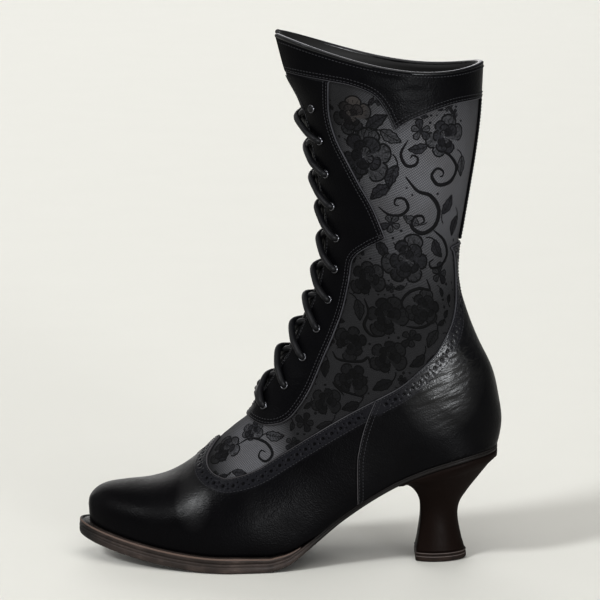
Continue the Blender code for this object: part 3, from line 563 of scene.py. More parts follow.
def on_boot(line):
    """Places (v, q) and section shares h of side-view points; h leaves 0 to 1 beyond the outline."""
    line = np.asarray(line, float)
    rows = np.linspace(0.0, LAST_ROW, 10 * LAST_ROW + 1)
    shares = np.linspace(0.0, 1.0, 41)
    grid_v, grid_h = np.meshgrid(rows, shares, indexing="ij")
    spots = side_view(grid_v, grid_h)
    v = np.zeros(len(line))
    h = np.zeros(len(line))
    for i, point in enumerate(line):
        k = np.argmin(((spots - point) ** 2).sum(-1))
        v[i] = grid_v.flat[k]
        h[i] = grid_h.flat[k]
    step = 1e-4
    most_v = 0.5
    most_h = 0.1
    for _ in range(12):
        miss = line - side_view(v, h)
        by_v = (side_view(v + step, h) - side_view(v - step, h)) / (2.0 * step)
        by_h = (side_view(v, h + step) - side_view(v, h - step)) / (2.0 * step)
        size = by_v[:, 0] * by_h[:, 1] - by_v[:, 1] * by_h[:, 0]
        size = np.where(np.abs(size) < 1e-6, 1e-6, size)
        v = v + np.clip((miss[:, 0] * by_h[:, 1] - miss[:, 1] * by_h[:, 0]) / size, -most_v, most_v)
        h = h + np.clip((by_v[:, 0] * miss[:, 1] - by_v[:, 1] * miss[:, 0]) / size, -most_h, most_h)
        v = np.clip(v, 0.0, float(LAST_ROW))
    return v, q_of_share(v, np.clip(h, 0.0, 1.0)), h


def q_of_share(v, h):
    """Place q where the section reaches a share of its height."""
    low = np.full_like(h, -1.0)
    high = np.ones_like(h)
    for _ in range(44):
        middle = (low + high) / 2.0
        under = rise_and_width(v, middle)[0] < h
        low = np.where(under, middle, low)
        high = np.where(under, high, middle)
    q = (low + high) / 2.0
    q = np.where(h >= 1.0, 1.0, q)
    return np.where(h <= 0.0, -1.0, q)


def inside_boot(line):
    """The stretch of a drawn line that lies on the boot, as (v, q), with its ends put on the outline."""
    line = np.asarray(line, float)
    v, q, h = on_boot(line)
    keep = (h > 0.0) & (h < 1.0)
    first = int(np.argmax(keep))
    last = len(keep) - 1 - int(np.argmax(keep[::-1]))
    places = [(v[i], q[i]) for i in range(first, last + 1)]
    for inner, outer, spot in ((last, last + 1, len(places)), (first, first - 1, 0)):
        if 0 <= outer < len(line):
            edge = 1.0 if h[outer] >= 1.0 else 0.0
            t = (edge - h[inner]) / (h[outer] - h[inner])
            places.insert(spot, (blend(v[inner], v[outer], t), 1.0 if edge else -1.0))
    return np.array(places)


def even(places, spacing, side=-1):
    """The same line of places (v, q) with even spacing on the boot."""
    fine = np.array(places, float)
    point = bare(fine[:, 0], fine[:, 1], np.full(len(fine), float(side)))
    run = lengths(point)
    count = max(int(round(run[-1] / spacing)), 1)
    at = np.linspace(0.0, run[-1], count + 1)
    return np.stack([np.interp(at, run, fine[:, 0]), np.interp(at, run, fine[:, 1])], axis=-1)


def beside(places, distance, side=-1):
    """A line of places moved across the surface, on the outer side to the left of its run."""
    v = places[:, 0].copy()
    q = places[:, 1].copy()
    sides = np.full(len(v), float(side))
    point = bare(v, q, sides)
    run = unit(np.gradient(point, axis=0))
    target = point + np.cross(outward(v, q, sides), run) * distance * -side
    return drop_on(target, v, q, sides)


def drop_on(target, v, q, sides):
    """Places on the boot nearest to points in space, from a first guess."""
    step = 1e-3
    most_v = 0.6
    most_q = 0.15
    v = v.copy()
    q = q.copy()
    for _ in range(8):
        point = bare(v, q, sides)
        v0 = np.maximum(v - step, 0.0)
        v1 = np.minimum(v + step, LAST_ROW)
        q0 = np.maximum(q - step, -1.0)
        q1 = np.minimum(q + step, 1.0)
        by_v = (bare(v1, q, sides) - bare(v0, q, sides)) / (v1 - v0)[:, None]
        by_q = (bare(v, q1, sides) - bare(v, q0, sides)) / (q1 - q0)[:, None]
        miss = target - point
        a = (by_v * by_v).sum(-1)
        b = (by_v * by_q).sum(-1)
        c = (by_q * by_q).sum(-1)
        m = (by_v * miss).sum(-1)
        n = (by_q * miss).sum(-1)
        size = np.maximum(a * c - b * b, TINY)
        v = np.clip(v + np.clip((c * m - b * n) / size, -most_v, most_v), 0.0, float(LAST_ROW))
        q = np.clip(q + np.clip((a * n - b * m) / size, -most_q, most_q), -1.0, 1.0)
    return np.stack([v, q], axis=-1)


class Unrolled:
    """Flat chart of half the upper: run along the widest line, and arc length round each section."""

    def __init__(self):
        self.v = np.linspace(0.0, LAST_ROW, 621)
        self.q = np.linspace(-1.0, 1.0, 201)
        grid_v, grid_q = np.meshgrid(self.v, self.q, indexing="ij")
        point = bare(grid_v, grid_q, -np.ones_like(grid_v))
        round_it = np.linalg.norm(np.diff(point, axis=1), axis=2)
        arc = np.concatenate([np.zeros((len(self.v), 1)), np.cumsum(round_it, axis=1)], axis=1)
        middle = len(self.q) // 2
        self.arc = arc - arc[:, middle:middle + 1]
        self.run = lengths(point[:, middle])

    def flat(self, places):
        """Chart point of each place."""
        v, q = places[:, 0], places[:, 1]
        row = np.clip(v / self.v[1], 0.0, len(self.v) - 1.001)
        col = np.clip((q + 1.0) / (self.q[1] - self.q[0]), 0.0, len(self.q) - 1.001)
        i = row.astype(int)
        j = col.astype(int)
        a = row - i
        b = col - j
        low = blend(self.arc[i, j], self.arc[i + 1, j], a)
        high = blend(self.arc[i, j + 1], self.arc[i + 1, j + 1], a)
        arc = blend(low, high, b)
        return np.stack([np.interp(v, self.v, self.run), arc], axis=-1)

    def grid(self, spacing, low_v=0.0, high_v=float(LAST_ROW)):
        """Places spread over the upper about this far apart."""
        found = []
        rows = np.arange(np.interp(low_v, self.v, self.run), np.interp(high_v, self.v, self.run), spacing)
        for number, run in enumerate(rows):
            v = float(np.interp(run, self.run, self.v))
            i = int(round(v / self.v[1]))
            arc = self.arc[i]
            marks = np.arange(arc[0] + (0.25 + 0.5 * (number % 2)) * spacing, arc[-1], spacing)
            q = np.interp(marks, arc, self.q)
            found.append(np.stack([np.full(len(q), v), q], axis=-1))
        return np.concatenate(found)


UNROLLED = Unrolled()
TOE = Vector((
    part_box("outsole")[0].x + SOLE_TIP * MM,
    (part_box("heel_top_piece")[0].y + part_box("heel_top_piece")[1].y) / 2.0,
    0.0,
))


def world(points):
    """Points of the boot's own millimetres in the frame's metres."""
    return np.asarray(points, float) * MM + np.array(TOE)


def new_piece(name, points, faces, material, smooth_shade=True, uv=None):
    """Mesh object from points in millimetres, riding on the boot's one body."""
    mesh = bpy.data.meshes.new(name)
    mesh.from_pydata([tuple(p) for p in world(points)], [], [tuple(int(i) for i in f) for f in faces])
    mesh.validate()
    piece = bpy.data.objects.new(name, mesh)
    bpy.context.scene.collection.objects.link(piece)
    mesh.materials.append(material)
    if uv is not None:
        layer = mesh.uv_layers.new(name="flat")
        corner = np.zeros(len(mesh.loops), np.int32)
        mesh.loops.foreach_get("vertex_index", corner)
        layer.data.foreach_set("uv", np.asarray(uv, np.float32)[corner].ravel())
    mesh.polygons.foreach_set("use_smooth", np.full(len(mesh.polygons), smooth_shade))
    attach(piece, "root")
    return piece


def weld_seams(piece, distance=2e-6):
    """Join the two halves of a piece where they meet and turn its faces out."""
    bm = bmesh.new()
    bm.from_mesh(piece.data)
    bmesh.ops.remove_doubles(bm, verts=bm.verts, dist=distance)
    bmesh.ops.dissolve_degenerate(bm, edges=bm.edges, dist=1e-7)
    bmesh.ops.recalc_face_normals(bm, faces=bm.faces)
    bm.to_mesh(piece.data)
    bm.free()
    piece.data.update()
    return piece


def millimetres(name, description, default, low):
    """Size property in millimetres."""
    return bpy.props.FloatProperty(
        name=name, description=description + ", in millimetres", default=default, min=low)


def metres(name, description, default):
    """Length property in metres, as the scene has them."""
    return bpy.props.FloatProperty(name=name, description=description, default=default, unit="LENGTH")


def colour(name, description, default):
    """Colour property."""
    return bpy.props.FloatVectorProperty(
        name=name, description=description, default=default, size=3, min=0.0, max=1.0, subtype="COLOR")


class BootSizes(bpy.types.PropertyGroup):
    """Sizes of the dressing."""

    net_cell: millimetres("Net cell", "Width of one mesh of the net", 1.5, 0.5)
    stitch_pitch: millimetres("Stitch pitch", "From one stitch to the next", 2.1, 1.0)
    stitch_width: millimetres("Stitch width", "Width of the sewing thread", 0.55, 0.2)
    punch_pitch: millimetres("Punch pitch", "From one large punched hole to the next", 6.2, 3.0)
    punch_large: millimetres("Large punch", "Radius of the large punched holes", 1.15, 0.3)
    punch_small: millimetres("Small punch", "Radius of the small punched holes", 0.5, 0.2)
    band_middle: millimetres("Band middle", "From the panel's edge to the row of holes", 5.0, 2.0)
    cord_radius: millimetres("Cord radius", "Half the thickness of the lacing cord", 2.0, 0.5)
    lens: millimetres("Lens", "Focal length on a 36 mm wide sensor", 170.6, 20.0)
    camera_distance: metres("Camera distance", "From the camera to the boot", 1.70)
    camera_height: metres("Camera height", "Height of the camera over the floor", 0.46)
    camera_aim_height: metres("Aim height", "Height of the point that the camera looks at", 0.160)
    camera_aim_run: metres("Aim run", "From the toe to the point that the camera looks at", 0.1336)


class BootColours(bpy.types.PropertyGroup):
    """Colours of the dressing."""

    leather: colour("Leather", "Black leather of the panels", (0.0016, 0.0016, 0.0021))
    # Painted sheen: the punched band is drawn lighter than the leather, as the light lying on it
    band: colour("Band", "Punched edge of the panels", (0.0090, 0.0090, 0.0110))
    # Painted highlight: the thin light line along the crest of the collar binding
    rim: colour("Rim", "Rubbed crest of the collar", (0.15, 0.15, 0.16))
    edge: colour("Cut edge", "Raw edge of the panels", (0.036, 0.036, 0.040))
    net: colour("Net", "Grey net under the lace", (0.104, 0.103, 0.109))
    net_line: colour("Net thread", "Threads of the net", (0.036, 0.036, 0.039))
    motif: colour("Motif", "Woven petals and leaves", (0.0065, 0.0065, 0.0080))
    petal: colour("Petal", "Lighter woven petals", (0.015, 0.015, 0.0175))
    veil: colour("Veil", "Thin petals that the net shows through", (0.034, 0.034, 0.037))
    outline: colour("Outline", "Cord round the petals", (0.0026, 0.0026, 0.0032))
    lining: colour("Lining", "Leather inside the boot", (0.0075, 0.0068, 0.0066))
    tongue: colour("Tongue", "Leather of the tongue", (0.0030, 0.0030, 0.0036))
    sole: colour("Sole edge", "Edge of the sole", (0.033, 0.025, 0.022))
    # Partly wear and partly a painted highlight: the lighter upper edge of the welt
    worn: colour("Worn edge", "Rubbed upper edge of the welt", (0.0665, 0.0525, 0.0480))
    heel: colour("Heel", "Covered heel", (0.0046, 0.0027, 0.0022))
    rubber: colour("Top piece", "Rubber under the heel", (0.016, 0.010, 0.0075))
    metal: colour("Eyelets", "Dark nickel", (0.13, 0.13, 0.14))
    cord: colour("Cord", "Lacing cord", (0.0022, 0.0022, 0.0030))
    thread: colour("Thread", "Sewing thread", (0.013, 0.013, 0.015))
    floor: colour("Floor", "Plain floor", (0.625, 0.618, 0.580))


class Shader:
    """One material under construction: a principled shader and helpers to join nodes."""

    def __init__(self, name, base, rough, specular=0.5, metallic=0.0):
        self.material = bpy.data.materials.new(name)
        self.material.use_nodes = True
        self.tree = self.material.node_tree
        self.tree.nodes.clear()
        out = self.node("ShaderNodeOutputMaterial")
        main = self.node("ShaderNodeBsdfPrincipled")
        self.join(main.outputs[0], out.inputs["Surface"])
        self.main = main.inputs
        self.main["Base Color"].default_value = (*base, 1.0)
        self.main["Roughness"].default_value = rough
        self.main["Specular IOR Level"].default_value = specular
        self.main["Metallic"].default_value = metallic
        place = self.node("ShaderNodeTexCoord")
        self.place = place.outputs["Object"]
        self.flat = place.outputs["UV"]

    def join(self, source, target):
        """Link an output to an input, or set the input to a number or colour."""
        if isinstance(source, (int, float)):
            target.default_value = source
        elif isinstance(source, tuple):
            target.default_value = (*source, 1.0)
        else:
            self.tree.links.new(source, target)

    def node(self, kind, inputs=(), **values):
        """New node with values set on its properties and inputs."""
        made = self.tree.nodes.new(kind)
        for key, value in values.items():
            setattr(made, key, value)
        for key, value in dict(inputs).items():
            made.inputs[key].default_value = value
        return made

    def noise(self, grain, detail=3.0, rough=0.5, stretch=None, turn=0.0):
        """Cloudy pattern with features of a size in millimetres, drawn out along axes turned about y."""
        values = {"Scale": 1.0 / (grain * MM), "Detail": detail, "Roughness": rough}
        made = self.node("ShaderNodeTexNoise", values)
        place = self.place
        if stretch is not None:
            values = {"Scale": stretch, "Rotation": (0.0, math.radians(turn), 0.0)}
            mapping = self.node("ShaderNodeMapping", values, vector_type="TEXTURE")
            self.join(place, mapping.inputs["Vector"])
            place = mapping.outputs[0]
        self.join(place, made.inputs["Vector"])
        return made.outputs["Fac"]

    def cells(self, grain):
        """Softly pebbled pattern with cells of a size in millimetres."""
        made = self.node("ShaderNodeTexVoronoi", {"Scale": 1.0 / (grain * MM)}, feature="SMOOTH_F1")
        self.join(self.place, made.inputs["Vector"])
        return made.outputs["Distance"]

    def between(self, value, low, high, to_low=0.0, to_high=1.0):
        """Value brought from one range to another and kept inside it."""
        ends = {"From Min": low, "From Max": high, "To Min": to_low, "To Max": to_high}
        made = self.node("ShaderNodeMapRange", ends, clamp=True)
        self.join(value, made.inputs["Value"])
        return made.outputs[0]

    def math(self, operation, first, second):
        """Two values joined; either may be a number."""
        made = self.node("ShaderNodeMath", operation=operation)
        self.join(first, made.inputs[0])
        self.join(second, made.inputs[1])
        return made.outputs[0]

    def mix(self, share, first, second):
        """Colour between two colours; either may be an output."""
        made = self.node("ShaderNodeMix", data_type="RGBA")
        self.join(share, made.inputs["Factor"])
        self.join(first, made.inputs[6])
        self.join(second, made.inputs[7])
        return made.outputs[2]

    def height(self, axis="Z"):
        """Place along one axis, in metres."""
        made = self.node("ShaderNodeSeparateXYZ")
        self.join(self.place, made.inputs[0])
        return made.outputs[axis]

    def around(self, x, z, full, none):
        """One near a point of the side view and nothing beyond, at two distances in millimetres."""
        away = self.node("ShaderNodeVectorMath", {1: tuple(world((x, 0.0, z)))}, operation="SUBTRACT")
        self.join(self.place, away.inputs[0])
        seen = self.node("ShaderNodeVectorMath", {1: SPOT_SHAPE}, operation="MULTIPLY")
        self.join(away.outputs[0], seen.inputs[0])
        length = self.node("ShaderNodeVectorMath", operation="LENGTH")
        self.join(seen.outputs[0], length.inputs[0])
        return self.between(length.outputs["Value"], full * MM, none * MM, 1.0, 0.0)

    def paint(self, value):
        """Use an output as the base colour."""
        self.join(value, self.main["Base Color"])

    def gloss(self, value):
        """Use an output as the roughness."""
        self.join(value, self.main["Roughness"])

    def bump(self, value, distance, strength=1.0):
        """Add a relief of this height in millimetres."""
        made = self.node("ShaderNodeBump", {"Distance": distance * MM, "Strength": strength})
        self.join(value, made.inputs["Height"])
        normal = self.main["Normal"]
        if normal.is_linked:
            self.join(normal.links[0].from_socket, made.inputs["Normal"])
        self.join(made.outputs[0], normal)


# Places of the side view that look different: x, z, and the distances where it is full and gone
SPOT_SHAPE = (1.45, 0.0, 1.0)
# Spots of painted light on the net and lace; away from them both are painted dark as shade
ANKLE_PAINTED_LIGHT = (207.0, 243.0, 16.0, 82.0)
INSTEP_PAINTED_LIGHT = (106.0, 68.0, 16.0, 38.0)
BLUSH = (166.0, 283.0, 6.0, 15.0)
HEEL_CREASES = (219.0, 122.0, 16.0, 40.0)
VAMP_SHINE = (69.0, 41.0, 0.0, 17.0)
COUNTER_SHINE = (218.0, 121.0, 5.0, 41.0)
# Sole edge: where its dark waist begins and is full, and the same for its dark tip, from the toe
DARK_WAIST = (128.0, 146.0)
DARK_TIP = (3.0, 17.0)


def tone(base, factor, warm=0.0):
    """Colour made lighter or darker, and warmer or cooler."""
    return (base[0] * factor * (1.0 + warm), base[1] * factor, base[2] * factor * (1.0 - warm))


def leather_material(name, base, rough, grain, specular=0.08, shine=None, polish=0.0, creased=False):
    """Fine grained leather with worn patches, lighter and warmer low down as a painted reflection from below;
    a panel's has a band of painted sheen along its edge and a polished place.
    """
    shade = Shader(name, base, rough, specular)
    # Painted reflection: the leather is drawn lighter and warmer towards the floor, as a warm reflection from
    # below
    low = shade.between(shade.height(), 0.02, 0.13, 1.0, 0.0)
    patch = shade.between(shade.noise(26.0, 5.0, 0.6), 0.40, 0.72)
    warm = shade.mix(low, base, tone(base, 1.35, 0.10))
    hide = shade.mix(shade.math("MULTIPLY", patch, 0.55), warm, tone(base, 1.8, 0.03))
    if shine is not None:
        # Painted sheen: the punched band is drawn lighter, except in its holes
        band = shade.node("ShaderNodeAttribute", attribute_name="band")
        hide = shade.mix(band.outputs["Fac"], hide, tuple(bpy.context.scene.boot_colours.band))
        level = shade.between(shade.around(*shine), 0.0, 1.0, specular, polish)
        shade.join(level, shade.main["Specular IOR Level"])
    shade.paint(hide)
    fine = shade.noise(2.4, 4.0, 0.6)
    broad = shade.noise(18.0, 3.0, 0.5)
    mixed = shade.math("ADD", shade.math("MULTIPLY", fine, 0.35), shade.math("MULTIPLY", broad, 0.65))
    shade.gloss(shade.between(mixed, 0.34, 0.66, rough - 0.07, rough + 0.10))
    shade.bump(shade.cells(0.85), grain, 0.55)
    shade.bump(shade.noise(3.2, 4.0, 0.6), grain * 1.6, 0.45)
    if creased:
        streaks = shade.between(shade.noise(4.2, 2.0, 0.45, (7.0, 1.0, 1.0), -24.0), 0.36, 0.64)
        shade.bump(shade.math("MULTIPLY", streaks, shade.around(*HEEL_CREASES)), 0.55, 0.7)
    return shade.material


def painted_light_share(shade):
    """Share of painted light on the net and lace: full near the ankle and the instep, none elsewhere, where
    they are painted dark as shade.
    """
    return shade.math("MAXIMUM", shade.around(*ANKLE_PAINTED_LIGHT), shade.around(*INSTEP_PAINTED_LIGHT))


def net_material(name, base):
    """Diamond net of thin threads over a plain grey ground."""
    thread = tuple(bpy.context.scene.boot_colours.net_line)
    cell = bpy.context.scene.boot_sizes.net_cell
    shade = Shader(name, base, 0.85, 0.12)
    parts = shade.node("ShaderNodeSeparateXYZ")
    shade.join(shade.flat, parts.inputs[0])
    slope = shade.math("MULTIPLY", parts.outputs["Y"], 0.8)
    lines = []
    for operation in ("ADD", "SUBTRACT"):
        turns = shade.math("MULTIPLY", shade.math(operation, parts.outputs["X"], slope), 1.0 / cell)
        lines.append(shade.between(shade.math("PINGPONG", turns, 0.5), 0.06, 0.17, 1.0, 0.0))
    threads = shade.math("MAXIMUM", *lines)
    cloud = shade.between(shade.noise(30.0, 4.0, 0.6), 0.35, 0.70)
    ground = shade.mix(cloud, tone(base, 0.82, 0.02), tone(base, 1.15, -0.02))
    # Painted shade: the net is drawn dark away from the spots of painted light
    shade.paint(shade.mix(painted_light_share(shade), tone(base, 0.14), shade.mix(threads, ground, thread)))
    shade.bump(threads, 0.18, 0.7)
    shade.bump(shade.noise(0.5, 2.0), 0.05, 0.5)
    return shade.material


def woven_material(name, base, weave=0.42):
    """Closely woven thread."""
    shade = Shader(name, base, 0.75, 0.12)
    uneven = shade.between(shade.noise(1.3, 3.0, 0.65), 0.36, 0.66)
    woven = shade.mix(uneven, tone(base, 0.45), tone(base, 1.75))
    # Painted shade: the woven lace is drawn dark away from the spots of painted light
    shaded = shade.mix(painted_light_share(shade), tone(base, 0.14), woven)
    shade.paint(shade.mix(shade.around(*BLUSH), shaded, tone(base, 0.75, 0.14)))
    shade.bump(shade.noise(weave, 2.0, 0.6), 0.12, 0.8)
    return shade.material


def clouded_material(name, base, rough, specular, cloud, light, relief=None):
    """Surface clouded between two tones, with a fine relief: size of its grain, detail, height, strength."""
    shade = Shader(name, base, rough, specular)
    shade.paint(shade.mix(shade.noise(*cloud), tone(base, light[0]), tone(base, light[1])))
    if relief is not None:
        grain, detail, height, strength = relief
        shade.bump(shade.noise(grain, *detail), height, strength)
    return shade.material


def sole_material(name, base):
    """Worn edge of the sole: brown-grey, scratched along its run, dark at its tip and under the waist."""
    shade = Shader(name, base, 0.62, 0.20)
    worn = shade.between(shade.noise(14.0, 6.0, 0.65), 0.40, 0.66)
    scratch = shade.between(shade.noise(3.0, 4.0, 0.7, (4.0, 1.0, 0.33)), 0.45, 0.70)
    share = shade.math("MULTIPLY", worn, shade.math("ADD", 0.35, shade.math("MULTIPLY", scratch, 0.65)))
    bare_edge = shade.mix(share, tone(base, 0.72), tone(base, 2.3, 0.02))
    waist = shade.between(shade.height("X"), *[TOE.x + at * MM for at in DARK_WAIST])
    tip = shade.between(shade.height("X"), *[TOE.x + at * MM for at in DARK_TIP], 1.0, 0.0)
    shade.paint(shade.mix(shade.math("MAXIMUM", waist, tip), bare_edge, tone(base, 0.16)))
    shade.gloss(shade.between(scratch, 0.0, 1.0, 0.50, 0.75))
    shade.bump(shade.noise(1.8, 5.0, 0.65, (3.3, 1.0, 0.5)), 0.20, 0.6)
    return shade.material


def rubber_material(name, base, lines):
    """Matt rubber with dust in its pores, lighter along two lines at these heights in millimetres."""
    shade = Shader(name, base, 0.74, 0.15)
    dust = shade.between(shade.noise(7.0, 6.0, 0.7), 0.38, 0.68)
    cloudy = shade.mix(dust, tone(base, 0.65), tone(base, 1.6))
    rise = shade.height()
    marks = []
    for at in lines:
        away = shade.math("ABSOLUTE", shade.math("SUBTRACT", rise, at * MM), 0.0)
        marks.append(shade.between(away, 0.10 * MM, 0.24 * MM, 1.0, 0.0))
    shade.paint(shade.mix(shade.math("MAXIMUM", *marks), cloudy, tone(base, 9.0, -0.25)))
    shade.bump(shade.noise(1.2, 4.0, 0.6), 0.12, 0.6)
    return shade.material


def metal_material(name, base):
    """Dark nickel, rubbed."""
    shade = Shader(name, base, 0.30, 0.5, 1.0)
    shade.gloss(shade.between(shade.noise(1.2, 4.0), 0.35, 0.7, 0.22, 0.42))
    shade.paint(shade.mix(shade.noise(1.5, 3.0, 0.6), tone(base, 0.6), tone(base, 1.1)))
    return shade.material


# How the waxed braid of cord and thread is clouded
BRAID = {"rough": 0.50, "specular": 0.22, "cloud": (2.0, 3.0, 0.6), "light": (0.8, 1.6),
         "relief": (0.5, (2.0, 0.6), 0.08, 0.6)}
# Finish of each material: how it is made, its colour, and its own values
FINISHES = {
    "black_leather": (leather_material, "leather", {
        "rough": 0.37, "grain": 0.20, "specular": 0.038, "shine": VAMP_SHINE, "polish": 0.36}),
    "counter_hide": (leather_material, "leather", {
        "rough": 0.36, "grain": 0.16, "specular": 0.06, "shine": COUNTER_SHINE, "polish": 0.60,
        "creased": True}),
    "worn_edge": (leather_material, "worn", {"rough": 0.55, "grain": 0.05}),
    # Painted highlight along the crest of the collar binding
    "rubbed_rim": (leather_material, "rim", {"rough": 0.45, "grain": 0.03, "specular": 0.3}),
    "binding": (leather_material, "leather", {"rough": 0.30, "grain": 0.05, "specular": 0.45}),
    "cut_edge": (leather_material, "edge", {"rough": 0.50, "grain": 0.05}),
    "tongue_leather": (leather_material, "tongue", {"rough": 0.52, "grain": 0.10}),
    "heel_cover": (leather_material, "heel", {"rough": 0.50, "grain": 0.06, "specular": 0.04}),
    "lace_net": (net_material, "net", {}),
    "lace_motif": (woven_material, "motif", {}),
    "lace_petal": (woven_material, "petal", {}),
    "lace_veil": (woven_material, "veil", {}),
    "lace_outline": (woven_material, "outline", {"weave": 0.35}),
    "lining_leather": (clouded_material, "lining", {
        "rough": 0.66, "specular": 0.30, "cloud": (22.0, 5.0, 0.6), "light": (0.7, 1.3),
        "relief": (1.0, (3.0,), 0.08, 0.5)}),
    "sole_edge": (sole_material, "sole", {}),
    "top_piece_rubber": (rubber_material, "rubber", {"lines": (3.0, 5.0)}),
    "eyelet_metal": (metal_material, "metal", {}),
    "lace_cord": (clouded_material, "cord", BRAID),
    "thread": (clouded_material, "thread", BRAID),
    "floor": (clouded_material, "floor", {
        "rough": 0.75, "specular": 0.3, "cloud": (90.0, 4.0, 0.55), "light": (0.985, 1.01)}),
}


def material(name):
    """Material by name, made once from the scene's colours; one of the solids' own is renamed."""
    found = bpy.data.materials.get(name)
    if found is not None and found.get("boot"):
        return found
    if found is not None:
        found.name = name + "_cad"
    maker, base, values = FINISHES[name]
    made = maker(name, tuple(getattr(bpy.context.scene.boot_colours, base)), **values)
    made["boot"] = True
    return made


# Panels: rows of points beside a cut edge, its rounding, and the stretch that shows as raw
CUT_ROWS = (0.2, 0.55, 1.0, 1.6, 2.4)
PUNCHED_ROWS = CUT_ROWS + (3.4,)
EDGE_ROUND = 0.6
EDGE_DROP = 0.55
RAW_EDGE = 0.58
RAISED_FROM = 0.8
RAISED_RUN = 3.0
GROOVE_DEPTH = 0.13
GROOVE_HALF = 0.5
# Spacing of points: along a cut edge, along the others, for measuring, and over each kind of panel
CUT_SPACING = 0.9
PLAIN_SPACING = 1.3
FINE_SPACING = 0.2
PUNCHED_SPACING = 1.7
SMOOTH_SPACING = 1.6
STRIP_SPACING = 1.4
# How far points keep from each other, and from the edges
CROWD_CELL = 0.5
BORDER_CROWD = 0.05
ROW_CROWD = 0.16
ROW_HALF = 0.1
ROW_CLEAR = 0.15
GRID_CROWD = 0.55
GRID_OFF_ROWS = 0.4
GRID_CLEAR = 0.5
FAR_POINT = 1e4
NO_LIMIT = 1e5
# Punched holes and the band they stand in
HOLE_POINTS = 9
HOLE_FLOOR = 0.7
HOLE_CLEAR = 0.25
HOLE_OFF_EDGE = 0.5
PUNCH_DEPTH = 0.9
PUNCH_OFF = 1.5
# Where the painted sheen on the punched band is full, and how far it fades
BAND_FULL = 8.2
BAND_FADE = 1.6
BAND_SEAMS = (1.3, 8.8)
# Other seams: from the edge to each line of stitches
DOUBLE_SEAM = (1.5, 3.4)
LAPPED_SEAM = (1.4, 3.6)
THROAT_SEAM = (1.7,)
STRIP_SEAM = (1.4,)
# Stitch: share of the pitch along it, and fatness there
STITCH_PROFILE = ((-0.40, 0.0), (-0.36, 0.6), (-0.2, 0.95), (0.0, 1.0), (0.2, 0.95), (0.36, 0.6), (0.40, 0.0))
STITCH_SIDES = 6
STITCH_ARCH = 0.16
THREAD_SUNK = -0.05
# Counter where it laps over the vamp
LAP_RISE = 0.35
LAP_FROM = 1.0
LAP_RUN = 4.0
LAP_THREAD = 0.02
# Cuff: its raised edge, the thread on it, and the seam under the binding in rows
CUFF_RAISED = 0.25
CUFF_THREAD = 0.12
BINDING_SEAM = 0.16
# Net shell and lining
NET_INNER = -1.15
LINING_OUTER = -1.2
# Collar binding; its faces above the crest height carry a painted highlight
BINDING_POINTS = 130
BINDING_RADIUS = 1.75
BINDING_SIDES = 12
BINDING_IN = -0.15
BINDING_DOWN = 0.7
BINDING_SQUASH = 0.85
BINDING_CREST = 1.15
# Tongue: its points, its swell between the facings, rows that it starts below the throat and ends
# below the collar, and how far it laps under the facings at its foot and top
TONGUE_ROWS = 120
TONGUE_COLUMNS = 25
TONGUE_SWELL = 3.5
TONGUE_BELOW = 0.9
TONGUE_SHORT = 1.15
TONGUE_LAPS = (8.0, 11.0)
# Sole edges: rows of inset and share of the height
OUTSOLE_PROFILE = (
    (14.0, 0.0), (7.0, 0.0), (3.2, 0.0), (2.9, 0.10), (2.4, 0.10), (2.1, 0.0), (1.2, 0.0), (0.55, 0.06),
    (0.15, 0.18), (0.0, 0.36), (0.0, 0.58), (0.12, 0.62), (0.34, 0.66), (0.34, 0.70), (0.12, 0.74),
    (0.0, 0.78), (0.0, 0.88), (0.15, 0.96), (0.5, 1.0), (6.0, 1.0),
)
INSOLE_PROFILE = ((0.0, 0.0), (0.0, 0.75), (0.3, 0.93), (0.9, 1.0), (8.0, 1.0))
WELT_PROFILE = (
    (WELT_STEP, 0.0), (WELT_STEP, 0.7), (WELT_STEP + 0.2, 0.92), (WELT_STEP + 0.7, 1.0),
    (2.0, 1.0), (2.3, 0.86), (2.9, 0.86), (3.2, 1.0),
)
WELT_STATIONS = 140
WELT_CROWD = 1.8
WELT_SUNK = 0.3
# Heel under its seat: shares of the seat's width and drop at breast and back, and rows of height and growth
NECK_WIDTHS = (0.94, 0.985)
NECK_DROPS = (1.0, 3.2)
NECK_SHORT = 0.4
SEAT_ROWS = ((0.55, 0.6), (1.0, 1.0))
SEAT_CLEAR = 0.1
# Top piece of the heel: rows of height and how far its side steps in
TOP_PIECE_PROFILE = (
    (0.0, 1.1), (0.0, 0.75), (0.12, 0.45), (0.35, 0.15), (0.7, 0.0), (3.0, 0.0), (3.2, 0.12), (3.3, 0.7),
    (3.5, 0.8), (3.95, 0.8), (4.1, 0.7), (4.2, 0.25), (4.35, 0.15), (5.0, 0.15), (5.2, 0.2), (LIFT_TOP, 0.4),
)
# Eyelet: rows of radius and height over the facing, round its roll; the barrel goes down through the wall
EYELET_BARREL = -1.6
EYELET_ROLL = (
    (1.66, 0.40), (1.74, 0.72), (1.95, 0.95), (2.20, 1.00), (2.48, 0.84), (2.66, 0.52), (2.70, 0.20),
    (2.68, -0.15), (1.95, -0.15),
)
EYELET_SEGMENTS = 28
# Lacing: how far each crossing, from the lowest up, stands off beyond its seat
LOOP_RISE = (0.9, 1.0, 0.9, 0.4, 0.9, 0.3, 0.4, 0.3, -0.4, 0.9)
LOOP_SEAT = 3.1
UNDER_SEAT = 0.5
LOWEST_DROP = 2.0
CORD_SPACING = 0.8
# Shares of the way from one eyelet to the next: leaving, on the facing, its edge, crossing, going under
CORD_SHARES = (0.03, 0.12, 0.22, 0.52, 0.74, 0.88)
# Thinning of the cord in an eyelet and behind the facing
CORD_HIDDEN = 0.62
CORD_PASSING = 0.95
CORD_DIVING = 0.66
# Heights of the cord: over the facing, behind the wall, in a hole, and how far it dips beside a hole
CORD_CLEAR = 0.6
CORD_BEHIND = 0.95
BAR_HOLE = 0.6
LOOP_HOLE = 0.4
BAR_DIP = 0.5
LOOP_DIP = 0.35
CORD_END = 1.2


